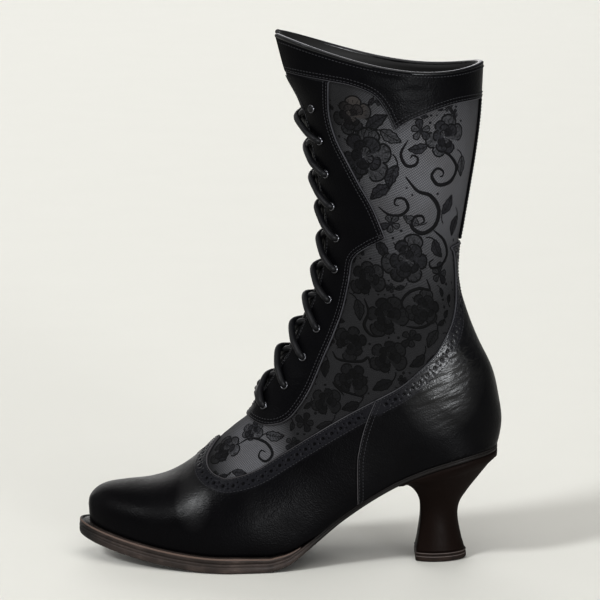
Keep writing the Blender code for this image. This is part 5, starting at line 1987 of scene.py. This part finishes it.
def make_lacing():
    """One cord laced crosswise through the eyelets over a straight bar, ending in the top eyelets."""
    radius = bpy.context.scene.boot_sizes.cord_radius
    places = eyelet_places()
    over = GAP + OVERLAY_WALL + CORD_CLEAR + radius
    hidden = -(UPPER_WALL + CORD_BEHIND)
    v, q = places[0]
    edge = float(q_throat(v))
    halves = []
    for side in (-1.0, 1.0):
        halves.append([
            cord_stop(v, q, side, hidden, CORD_HIDDEN),
            cord_stop(v, q, side, BAR_HOLE, CORD_PASSING),
            cord_stop(v, q + 0.012, side, over - BAR_DIP),
            cord_stop(v, blend(q, edge, 0.5), side, over),
            cord_stop(v, edge, side, over - BAR_DIP),
        ])
    parts = [cord(halves[0] + [cord_stop(v, 1.0, -1.0, radius)] + halves[1][::-1], radius)]
    for row in range(EYELET_ROWS - 1):
        v0, q0 = places[row]
        v1, q1 = places[row + 1]
        drop = LOWEST_DROP if row == 0 else 0.0
        start, rise, near, middle, far, dive = [blend(v0, v1, share) for share in CORD_SHARES]
        far_q = q_at_width(far, throat_half(far) * 0.5)
        dive_q = q_at_width(dive, throat_half(dive) + 1.5)
        for side in (1.0, -1.0):
            seat = LOOP_SEAT + LOOP_RISE[row] if side < 0 else UNDER_SEAT
            stops = [
                cord_stop(v0, q0, side, hidden, CORD_HIDDEN),
                cord_stop(v0, q0, side, LOOP_HOLE, CORD_PASSING),
                cord_stop(start, q0 + 0.010, side, over - LOOP_DIP),
                cord_stop(rise, blend(q0, float(q_throat(v0)), 0.52), side, over),
                cord_stop(near, q_throat(near), side, over - LOOP_DIP),
                cord_stop(middle, 1.0, side, seat - drop),
                cord_stop(far, far_q, -side, 0.3 - drop * 0.5, CORD_PASSING),
                cord_stop(dive, dive_q, -side, hidden, CORD_DIVING),
                cord_stop(v1, q1, -side, hidden, CORD_HIDDEN),
            ]
            if row == EYELET_ROWS - 2:
                stops.append(cord_stop(v1, q1, -side, BAR_HOLE, CORD_PASSING))
                stops.append(cord_stop(v1, q1, -side, GAP + OVERLAY_WALL + CORD_END, CORD_PASSING))
            parts.append(cord(stops, radius))
    points, faces = gather(parts)
    piece = new_piece("lacing", points, faces, material("lace_cord"))
    names = ["lace_crossing_%02d" % (n + 1) for n in range(EYELET_ROWS - 1)]
    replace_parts(piece, "lace_bar", *names)


# Floral lace on the net, drawn on the side view
# columns: kind, x, z, turn in degrees, size
LACE_LAYOUT = (
    ("rose", 171.0, 252.0, 10.0, 17.5),
    ("rose", 163.5, 276.0, 70.0, 11.5),
    ("leaf", 178.5, 272.5, 35.0, 10.0),
    ("leaf", 187.0, 264.5, 330.0, 9.5),
    ("leaf", 188.5, 240.0, 250.0, 10.0),
    ("leaf", 181.0, 230.5, 215.0, 9.5),
    ("rose", 219.0, 263.0, 65.0, 12.5),
    ("rosette", 204.5, 267.5, 20.0, 6.5),
    ("leaf", 203.0, 257.5, 190.0, 8.0),
    ("leaf", 229.5, 244.5, 275.0, 8.5),
    ("leaf", 221.0, 222.0, 60.0, 8.5),
    ("leaf", 226.0, 208.0, 255.0, 8.5),
    ("leaf", 199.5, 213.5, 150.0, 7.5),
    ("rosette", 187.5, 212.0, 50.0, 6.0),
    ("rose", 197.0, 189.5, 0.0, 15.0),
    ("rose", 173.5, 178.0, 30.0, 11.0),
    ("leaf", 181.5, 196.5, 120.0, 8.0),
    ("leaf", 216.0, 195.5, 300.0, 8.5),
    ("rosette", 217.0, 180.0, 10.0, 6.5),
    ("rose", 207.5, 160.5, 10.0, 11.0),
    ("rose", 185.0, 155.5, 50.0, 12.5),
    ("leaf", 168.5, 159.0, 280.0, 8.5),
    ("rose", 164.0, 139.0, 15.0, 10.5),
    ("rosette", 199.5, 142.5, 0.0, 6.0),
    ("leaf", 213.0, 142.0, 240.0, 8.0),
    ("rose", 186.0, 131.0, 25.0, 11.0),
    ("leaf", 203.5, 129.0, 220.0, 7.5),
    ("rose", 165.0, 117.0, 60.0, 10.5),
    ("leaf", 183.0, 113.5, 205.0, 8.5),
    ("leaf", 149.5, 122.5, 260.0, 7.0),
    ("rose", 149.0, 103.0, 20.0, 9.0),
    ("leaf", 164.0, 100.5, 200.0, 7.5),
    ("rosette", 136.5, 90.0, 0.0, 6.0),
    ("leaf", 148.0, 89.0, 200.0, 6.5),
    ("rose", 88.0, 70.5, 25.0, 10.5),
    ("rose", 105.0, 82.0, 15.0, 7.5),
    ("leaf", 118.5, 81.5, 350.0, 8.0),
    ("leaf", 97.0, 59.5, 350.0, 6.0),
    ("rosette", 129.0, 77.0, 0.0, 4.5),
)

# Parts of the net left open: x, z, radius
LACE_OPEN = (
    (206.0, 243.0, 11.0),
    (207.0, 219.0, 7.0),
    (109.0, 67.0, 11.0),
)

# Thick scrolls: greatest width, then points on the side view
LACE_VINES = (
    (2.4, (
        (214.0, 256.0), (222.0, 252.0), (226.5, 244.0), (223.0, 236.0), (215.5, 234.5), (211.5, 240.0),
        (214.5, 244.3), (218.3, 242.6), (218.0, 239.6), (216.2, 239.6),
    )),
    (2.8, (
        (196.0, 240.0), (203.0, 231.5), (211.0, 228.0), (216.0, 219.5), (214.0, 210.0), (206.5, 205.5),
        (200.0, 209.5), (201.2, 215.3), (206.0, 216.0), (207.2, 212.6), (205.0, 211.4),
    )),
    (2.2, (
        (213.0, 207.0), (219.5, 200.0), (221.5, 191.0), (217.5, 184.5), (212.0, 184.0), (210.6, 187.4),
        (213.0, 189.0),
    )),
    (2.0, (
        (197.0, 262.0), (193.0, 254.0), (196.0, 247.0), (201.5, 247.0), (203.0, 251.0), (200.0, 253.0),
        (198.6, 251.2),
    )),
    (1.9, (
        (180.0, 222.0), (186.0, 217.5), (193.0, 217.0), (197.5, 221.0), (195.5, 226.5), (190.5, 227.0),
        (189.6, 223.6), (192.2, 222.6),
    )),
    (2.0, (
        (209.0, 178.0), (211.0, 171.0), (205.0, 172.5), (198.0, 170.0), (194.0, 164.0), (197.5, 158.5),
    )),
    (2.0, (
        (172.0, 166.0), (174.5, 158.0), (172.0, 150.0), (176.0, 144.0), (182.5, 143.5),
    )),
    (1.9, (
        (197.0, 150.0), (204.0, 149.0), (209.5, 150.5), (214.0, 155.0), (213.5, 161.0),
    )),
    (1.9, (
        (176.0, 124.0), (174.5, 130.5), (170.0, 128.0), (157.0, 128.5), (153.0, 133.0),
    )),
    (1.8, (
        (160.0, 107.0), (156.0, 112.0), (153.5, 115.0), (158.0, 110.5), (172.0, 106.0),
    )),
    (1.8, (
        (96.0, 74.0), (104.0, 78.0), (113.0, 76.5), (117.0, 70.5), (113.0, 66.0), (108.8, 68.4),
        (110.2, 72.0), (112.8, 71.2),
    )),
)

# Small sprigs between the motifs: their grid, the room they need, and where they begin and stop
SPRIG_RISE = 4.3
SPRIG_RUN = 4.6
SPRIG_STAGGER = 2.2
SPRIG_SHIFT = 0.9
SPRIG_ROOM = 2.9
DOT_ROOM = 1.3
SPRIG_LOW = 57.0
SPRIG_HIGH = 286.0
SPRIG_FRONT = (
    (54.0, 78.0), (92.0, 124.0), (130.0, 147.0), (190.0, 163.0), (203.0, 184.0), (230.0, 168.0),
    (285.0, 150.0),
)
SHAFT_FROM = 92.0
SHAFT_BACK = 228.0
INSTEP_BACK = 140.0
# Rings of a rose: count of petals, inner and outer radius, overlap, width of its cord, two orders of tone
ROSE_RINGS = (
    (6, 0.16, 1.0, 1.46, 0.085, (2, 1)),
    (5, 0.10, 0.69, 1.40, 0.08, (1, 0)),
    (4, 0.06, 0.42, 1.35, 0.07, (0, 2)),
)
ROSE_VEINS = (-0.26, 0.02, 0.30)
FINE_FROM = 4.5
LEAF_STALK = ((-0.75, 0.0), (-0.95, -0.10), (-1.15, -0.28), (-1.28, -0.50))
# Raised threads: shares and heights of a fill's rings, heights across a cord and a scroll, limits of a cord
FILL_RINGS = (1.0, 0.66, 0.33)
FILL_HEIGHTS = (0.10, 0.17, 0.19)
CORD_HEIGHTS = (0.06, 0.36, 0.06)
CORD_THIN = 0.50
CORD_WIDE = 1.25
VINE_SHARES = (1.0, 0.5, 0.0, -0.5, -1.0)
VINE_HEIGHTS = (0.06, 0.27, 0.33, 0.27, 0.06)


def sprigs():
    """Small leaves and flowers in what the large motifs leave over: rows as in the layout."""
    front = np.array(SPRIG_FRONT)
    taken = [(x, z, wide) for _, x, z, _, wide in LACE_LAYOUT]
    taken += [(x, z, wide + 1.0) for x, z, wide in LACE_OPEN]
    for _, line in LACE_VINES:
        taken += [(x, z, 2.0) for x, z in smooth(line, None, 4)]
    found = []
    for row, z in enumerate(np.arange(SPRIG_LOW, SPRIG_HIGH, SPRIG_RISE)):
        start = np.interp(z, front[:, 0], front[:, 1]) + SPRIG_STAGGER * (row % 2)
        back = SHAFT_BACK if z > SHAFT_FROM else INSTEP_BACK
        for column, x in enumerate(np.arange(start, back, SPRIG_RUN)):
            shift = math.sin(12.9 * row + 7.7 * column)
            x = x + SPRIG_SHIFT * shift
            room = min(math.hypot(x - a, z - b) - 0.90 * wide for a, b, wide in taken)
            if room > SPRIG_ROOM:
                leaf = (row * 3 + column) % 3
                turn = 180.0 * shift + 60.0 * row
                found.append(("leaf", x, z, turn, 3.8) if leaf else ("rosette", x, z, turn, 3.0))
                taken.append((x, z, 2.6))
            elif room > DOT_ROOM:
                found.append(("dot", x, z, 0.0, 0.75 + 0.2 * shift))
                taken.append((x, z, 0.9))
    return tuple(found)


def lobe(middle, spread, inner, outer, points=17):
    """Outline of a rounded petal about a direction, from an inner to an outer radius."""
    u = np.linspace(0.0, 1.0, points)
    dent = 1.0 - 0.08 * np.exp(-((u - 0.5) / 0.09) ** 2) - 0.035 * np.cos(u * 6.0 * math.pi)
    radius = (inner + (outer - inner) * np.sin(math.pi * u) ** 0.50) * dent
    angle = middle + spread * (2.0 * u - 1.0) * (0.70 + 0.30 * np.sin(math.pi * u))
    return np.stack([radius * np.cos(angle), radius * np.sin(angle)], axis=-1)


def leaf_shape(length, width, bend, points=15):
    """Outline of a pointed leaf from its stalk to its tip, and its middle vein."""
    t = np.linspace(0.0, 1.0, points)
    middle = np.stack([length * (t - 0.5), bend * 4.0 * t * (1.0 - t)], axis=-1)
    half = width * np.sin(math.pi * t ** 0.85) ** 0.9 * (1.0 + 0.10 * np.sin(t * 22.0))
    off = np.stack([np.zeros(points), half], axis=-1)
    return np.concatenate([middle + off, (middle - off)[-2:0:-1]]), middle


def heading(angle):
    """Flat direction at an angle."""
    return np.array((math.cos(angle), math.sin(angle)))


def rose_shapes(scale, number):
    """Fills and cords of a full rose: rings of overlapping petals, no two alike."""
    fills = []
    cords = []
    for ring, (count, inner, outer, wide, thick, tones) in enumerate(ROSE_RINGS):
        for k in range(count):
            sway = math.sin(2.6 * k + 1.9 * ring + 1.3 * number)
            middle = 0.6 * ring + (k + 0.17 * sway) * 2.0 * math.pi / count
            spread = math.pi / count * wide * (1.0 + 0.12 * sway)
            petal = lobe(middle, spread, inner * scale, outer * scale * (1.0 + 0.14 * sway))
            level = 0.07 * ring + 0.009 * k
            fills.append((petal, tones[0 if sway > -0.3 else 1], level))
            cords.append((petal[2:-2], thick * scale, level))
            vein = np.linspace(outer - 0.26, outer - 0.10, 4)[:, None] * scale
            for turn in ROSE_VEINS:
                cords.append((vein * heading(middle + turn / count * 6.0), 0.045 * scale, level))
    return fills, cords


def rosette_shapes(scale, number):
    """Fills and cords of a small open flower."""
    fills = []
    cords = []
    points = 17 if scale > FINE_FROM else 9
    for k in range(5):
        sway = math.sin(2.2 * k + 1.7 * number)
        middle = (k + 0.12 * sway) * math.pi / 2.5
        petal = lobe(middle, math.pi / 5.0 * 1.12, 0.24 * scale, scale * (1.0 + 0.12 * sway), points)
        fills.append((petal, 1 if sway > 0.0 else 2, 0.01 * k))
        cords.append((petal, 0.11 * scale, 0.01 * k))
        cords.append((np.linspace(0.42, 0.74, 3)[:, None] * heading(middle) * scale, 0.06 * scale, 0.05))
    fills.append((ring_of(0.24 * scale), 0, 0.10))
    return fills, cords


def dot_shapes(scale, number):
    """Fill of a small dot, some of them a little drawn out."""
    return [(ring_of(scale) * np.array((1.0, 1.0 + 0.3 * math.sin(number))), 0, 0.0)], []


def leaf_shapes(scale, number):
    """Fills and cords of a veined leaf with a stalk."""
    edge, vein = leaf_shape(scale * 1.5, scale * 0.36, scale * 0.16 * math.sin(number + 0.5))
    cords = [(np.concatenate([edge, edge[:1]]), 0.085 * scale, 0.0), (vein, 0.08 * scale, 0.0)]
    for k in range(3, 12, 2 if scale > FINE_FROM else 4):
        for sign in (1.0, -1.0):
            end = vein[k] + np.array((0.17, sign * 0.20)) * scale * (1.0 - abs(k - 6) / 12.0)
            cords.append((np.linspace(vein[k], end, 3), 0.05 * scale, 0.0))
    cords.append((np.array(LEAF_STALK) * scale, 0.09 * scale, 0.0))
    return [(edge, 1 if number % 3 else 2, 0.0)], cords


MOTIFS = {"rose": rose_shapes, "rosette": rosette_shapes, "leaf": leaf_shapes, "dot": dot_shapes}


def fill_mesh(outline, level):
    """Points, heights and faces of a raised fill: rings drawn in to its middle."""
    middle = outline.mean(axis=0)
    wide = len(outline)
    rings = [middle + (outline - middle) * share for share in FILL_RINGS]
    heights = level + np.repeat(FILL_HEIGHTS, (wide, wide, wide + 1))
    faces = grid_faces(len(rings), wide, True).tolist()
    faces += [(2 * wide + k, 2 * wide + (k + 1) % wide, 3 * wide) for k in range(wide)]
    return np.concatenate(rings + [middle[None]]), heights, faces


def cord_mesh(line, width, level):
    """Points, heights and faces of a raised cord along a flat line."""
    run = unit(np.gradient(line, axis=0))
    across = np.stack([-run[:, 1], run[:, 0]], axis=-1) * 0.5 * min(max(width, CORD_THIN), CORD_WIDE)
    points = np.concatenate([line + across, line, line - across])
    return points, level + np.repeat(CORD_HEIGHTS, len(line)), grid_faces(len(CORD_HEIGHTS), len(line))


def lace_drawing(layout):
    """Flat drawing of the motifs: points, heights, the number of each point's motif, and faces by kind."""
    drawn = []
    groups = {"fill": [], "cord": []}
    count = 0
    for number, (kind, _, _, turn, scale) in enumerate(layout):
        fills, cords = MOTIFS[kind](scale, number)
        across, up = heading(math.radians(turn))
        rotate = np.array(((across, up), (-up, across)))
        shapes = [("fill", look, fill_mesh(outline, level)) for outline, look, level in fills]
        shapes += [("cord", 0, cord_mesh(*values)) for values in cords]
        for group, look, (points, heights, faces) in shapes:
            groups[group] += [(look, tuple(count + i for i in face)) for face in faces]
            drawn.append((points @ rotate, heights, np.full(len(points), number)))
            count += len(points)
    flat, lift, owner = [np.concatenate(values) for values in zip(*drawn)]
    return flat, lift, owner, groups


def add_vines(places, lift, groups):
    """The thick scrolls added to the cords, with a swelling width."""
    for width, line in LACE_VINES:
        v, q, _ = on_boot(smooth(line, None, 10))
        middle = even(np.stack([v, q], axis=-1), 0.7)
        share = np.linspace(0.0, 1.0, len(middle))[:, None]
        half = 0.5 * width * (0.28 + 0.72 * np.sin(math.pi * share) ** 0.8)
        faces = len(places) + grid_faces(len(VINE_SHARES), len(middle))[:, ::-1]
        groups["cord"] += [(0, tuple(face)) for face in faces]
        places = np.concatenate([places] + [beside(middle, off * half) for off in VINE_SHARES])
        lift = np.concatenate([lift, np.repeat(VINE_HEIGHTS, len(middle))])
    return places, lift


def make_lace_flowers():
    """Raised flowers, leaves and scrolls on the net, on both sides."""
    layout = LACE_LAYOUT + sprigs()
    flat, lift, owner, groups = lace_drawing(layout)
    v, q, _ = on_boot([(x, z) for _, x, z, _, _ in layout])
    outer = np.full(len(v), -1.0)
    out = outward(v, q, outer)
    level = unit(np.array((1.0, 0.0, 0.0)) - out * out[:, :1])
    rise = np.cross(level, out)
    rise *= np.where(rise[:, 2:] < 0.0, -1.0, 1.0)
    target = bare(v, q, outer)[owner] + level[owner] * flat[:, :1] + rise[owner] * flat[:, 1:]
    places = drop_on(target, v[owner], q[owner], outer[owner])
    places, lift = add_vines(places, lift, groups)
    looks = (
        ("fill", "lace_flowers", ("lace_motif", "lace_petal", "lace_veil")),
        ("cord", "lace_cords", ("lace_outline",)),
    )
    for kind, name, finishes in looks:
        used = np.unique(np.concatenate([face for _, face in groups[kind]]))
        fresh = np.zeros(len(places), int)
        fresh[used] = np.arange(len(used))
        for side, word in ((-1.0, "outer"), (1.0, "inner")):
            turn = 1 if side > 0 else -1
            faces = [tuple(fresh[i] for i in face[::turn]) for _, face in groups[kind]]
            points = skin(places[used, 0], places[used, 1], side, lift[used])
            piece = new_piece(name + "_" + word, points, faces, material(finishes[0]))
            face_looks(piece, finishes[1:], [look for look, _ in groups[kind]])


# Stage: the floor's half width, and far lights
FLOOR_REACH = 6.0
FLOOR_DROP = 0.0002
SENSOR_WIDTH = 36.0
LAMP_AWAY = 3.0
SKY_COLOUR = (0.80, 0.81, 0.84, 1.0)
SKY_STRENGTH = 0.16
PICTURE_GAMMA = 0.86
PICTURE_EXPOSURE = 0.08
WARM = (1.0, 0.99, 0.97)
# columns: name, direction from the boot to the light, power, spread in degrees, tint
LIGHTS = (
    ("window", (0.42, -0.90, 0.03), 4.0, 15.0, (0.96, 0.98, 1.0)),
    ("left", (-0.594, -0.466, 0.656), 1.8, 11.0, (0.97, 0.99, 1.0)),
    ("top", (0.15, -0.30, 0.94), 1.5, 60.0, WARM),
    ("back", (-0.20, 0.92, 0.34), 1.3, 50.0, WARM),
    ("front", (-0.88, 0.12, 0.46), 0.7, 60.0, WARM),
)


def place_aimed(name, data, place, target):
    """Light or camera object that looks from a place to a target."""
    made = bpy.data.objects.new(name, data)
    bpy.context.scene.collection.objects.link(made)
    made.location = place
    made.rotation_mode = "QUATERNION"
    made.rotation_quaternion = (Vector(target) - Vector(place)).to_track_quat("-Z", "Y")
    return made


def make_stage():
    """Plain pale floor, soft lights and the camera."""
    scene = bpy.context.scene
    sizes = scene.boot_sizes
    mesh = bpy.data.meshes.new("floor")
    corners = [(a * FLOOR_REACH, b * FLOOR_REACH, 0.0) for a, b in ((-1, -1), (1, -1), (1, 1), (-1, 1))]
    mesh.from_pydata(corners, [], [(0, 1, 2, 3)])
    floor = bpy.data.objects.new("floor", mesh)
    floor.location.z = -FLOOR_DROP
    scene.collection.objects.link(floor)
    mesh.materials.append(material("floor"))
    scene.world = bpy.data.worlds.new("studio")
    scene.world.use_nodes = True
    sky = scene.world.node_tree.nodes["Background"].inputs
    sky["Color"].default_value = SKY_COLOUR
    sky["Strength"].default_value = SKY_STRENGTH
    for name, towards, power, spread, tint in LIGHTS:
        lamp = bpy.data.lights.new(name, "SUN")
        lamp.energy = power
        lamp.angle = math.radians(spread)
        lamp.color = tint
        place_aimed(name, lamp, Vector(towards) * LAMP_AWAY, (0.0, 0.0, 0.0))
    scene.view_settings.view_transform = "Standard"
    scene.view_settings.gamma = PICTURE_GAMMA
    scene.view_settings.exposure = PICTURE_EXPOSURE
    target = Vector((TOE.x + sizes.camera_aim_run, TOE.y, sizes.camera_aim_height))
    camera = bpy.data.cameras.new("camera")
    camera.sensor_width = SENSOR_WIDTH
    camera.lens = sizes.lens
    place = (target.x, TOE.y - sizes.camera_distance, sizes.camera_height)
    scene.camera = place_aimed("camera", camera, place, target)


class MakeUpper(bpy.types.Operator):
    """Make the net shell and the lining"""

    bl_idname = "boot.upper"
    bl_label = "Upper and lining"
    bl_options = {"REGISTER", "UNDO"}

    def execute(self, context):
        """Make its pieces."""
        make_upper()
        return {"FINISHED"}


class MakeLaceFlowers(bpy.types.Operator):
    """Make the raised flowers, leaves and scrolls on the net"""

    bl_idname = "boot.lace_flowers"
    bl_label = "Floral lace"
    bl_options = {"REGISTER", "UNDO"}

    def execute(self, context):
        """Make its pieces."""
        make_lace_flowers()
        return {"FINISHED"}


class MakeVamp(bpy.types.Operator):
    """Make the vamp with its punched edge and stitches"""

    bl_idname = "boot.vamp"
    bl_label = "Vamp"
    bl_options = {"REGISTER", "UNDO"}

    def execute(self, context):
        """Make its pieces."""
        make_vamp()
        return {"FINISHED"}


class MakeCounter(bpy.types.Operator):
    """Make the counter with its punched edge and stitches"""

    bl_idname = "boot.counter"
    bl_label = "Counter"
    bl_options = {"REGISTER", "UNDO"}

    def execute(self, context):
        """Make its pieces."""
        make_counter()
        return {"FINISHED"}


class MakeCuff(bpy.types.Operator):
    """Make the cuff, its stitches and the collar binding"""

    bl_idname = "boot.cuff"
    bl_label = "Cuff"
    bl_options = {"REGISTER", "UNDO"}

    def execute(self, context):
        """Make its pieces."""
        make_cuff()
        return {"FINISHED"}


class MakeEyestay(bpy.types.Operator):
    """Make the facings and their stitches"""

    bl_idname = "boot.eyestay"
    bl_label = "Facings"
    bl_options = {"REGISTER", "UNDO"}

    def execute(self, context):
        """Make its pieces."""
        make_eyestay()
        return {"FINISHED"}


class MakeBackStrip(bpy.types.Operator):
    """Make the strip on the back seam"""

    bl_idname = "boot.back_strip"
    bl_label = "Back strip"
    bl_options = {"REGISTER", "UNDO"}

    def execute(self, context):
        """Make its pieces."""
        make_back_strip()
        return {"FINISHED"}


class MakeTongue(bpy.types.Operator):
    """Make the tongue"""

    bl_idname = "boot.tongue"
    bl_label = "Tongue"
    bl_options = {"REGISTER", "UNDO"}

    def execute(self, context):
        """Make its pieces."""
        make_tongue()
        return {"FINISHED"}


class MakeSole(bpy.types.Operator):
    """Make the insole, welt, outsole and heel"""

    bl_idname = "boot.sole"
    bl_label = "Sole and heel"
    bl_options = {"REGISTER", "UNDO"}

    def execute(self, context):
        """Make the pieces under the foot."""
        make_insole()
        make_welt()
        make_outsole()
        make_heel()
        return {"FINISHED"}


class MakeEyelets(bpy.types.Operator):
    """Make the metal eyelets"""

    bl_idname = "boot.eyelets"
    bl_label = "Eyelets"
    bl_options = {"REGISTER", "UNDO"}

    def execute(self, context):
        """Make its pieces."""
        make_eyelets()
        return {"FINISHED"}


class MakeLacing(bpy.types.Operator):
    """Lace the cord through the eyelets"""

    bl_idname = "boot.lacing"
    bl_label = "Lacing"
    bl_options = {"REGISTER", "UNDO"}

    def execute(self, context):
        """Make its pieces."""
        make_lacing()
        return {"FINISHED"}


class MakeStage(bpy.types.Operator):
    """Set up the floor, the lights and the camera"""

    bl_idname = "boot.stage"
    bl_label = "Stage"
    bl_options = {"REGISTER", "UNDO"}

    def execute(self, context):
        """Make the stage."""
        make_stage()
        return {"FINISHED"}


STEPS = (
    MakeUpper, MakeLaceFlowers, MakeVamp, MakeCounter, MakeCuff, MakeEyestay, MakeBackStrip, MakeTongue,
    MakeSole, MakeEyelets, MakeLacing, MakeStage,
)


class BootPanel(bpy.types.Panel):
    """Sidebar list of the steps, sizes and colours"""

    bl_idname = "VIEW3D_PT_boot"
    bl_label = "Boot"
    bl_space_type = "VIEW_3D"
    bl_region_type = "UI"
    bl_category = "Boot"

    def draw(self, context):
        """List the steps, then the sizes and colours."""
        for step in STEPS:
            self.layout.operator(step.bl_idname, text=step.bl_label)
        for group in (context.scene.boot_sizes, context.scene.boot_colours):
            box = self.layout.box()
            for name in group.__annotations__:
                box.prop(group, name)


CLASSES = (BootSizes, BootColours, *STEPS, BootPanel)


def register():
    """Add the steps, settings and sidebar panel."""
    for item in CLASSES:
        bpy.utils.register_class(item)
    bpy.types.Scene.boot_sizes = bpy.props.PointerProperty(type=BootSizes)
    bpy.types.Scene.boot_colours = bpy.props.PointerProperty(type=BootColours)


def unregister():
    """Take them away again."""
    del bpy.types.Scene.boot_colours
    del bpy.types.Scene.boot_sizes
    for item in reversed(CLASSES):
        bpy.utils.unregister_class(item)


def main():
    """Register the steps and settings, then run every step."""
    register()
    for step in STEPS:
        group, name = step.bl_idname.split(".")
        getattr(getattr(bpy.ops, group), name)()
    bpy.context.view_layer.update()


if __name__ == "__main__":
    main()
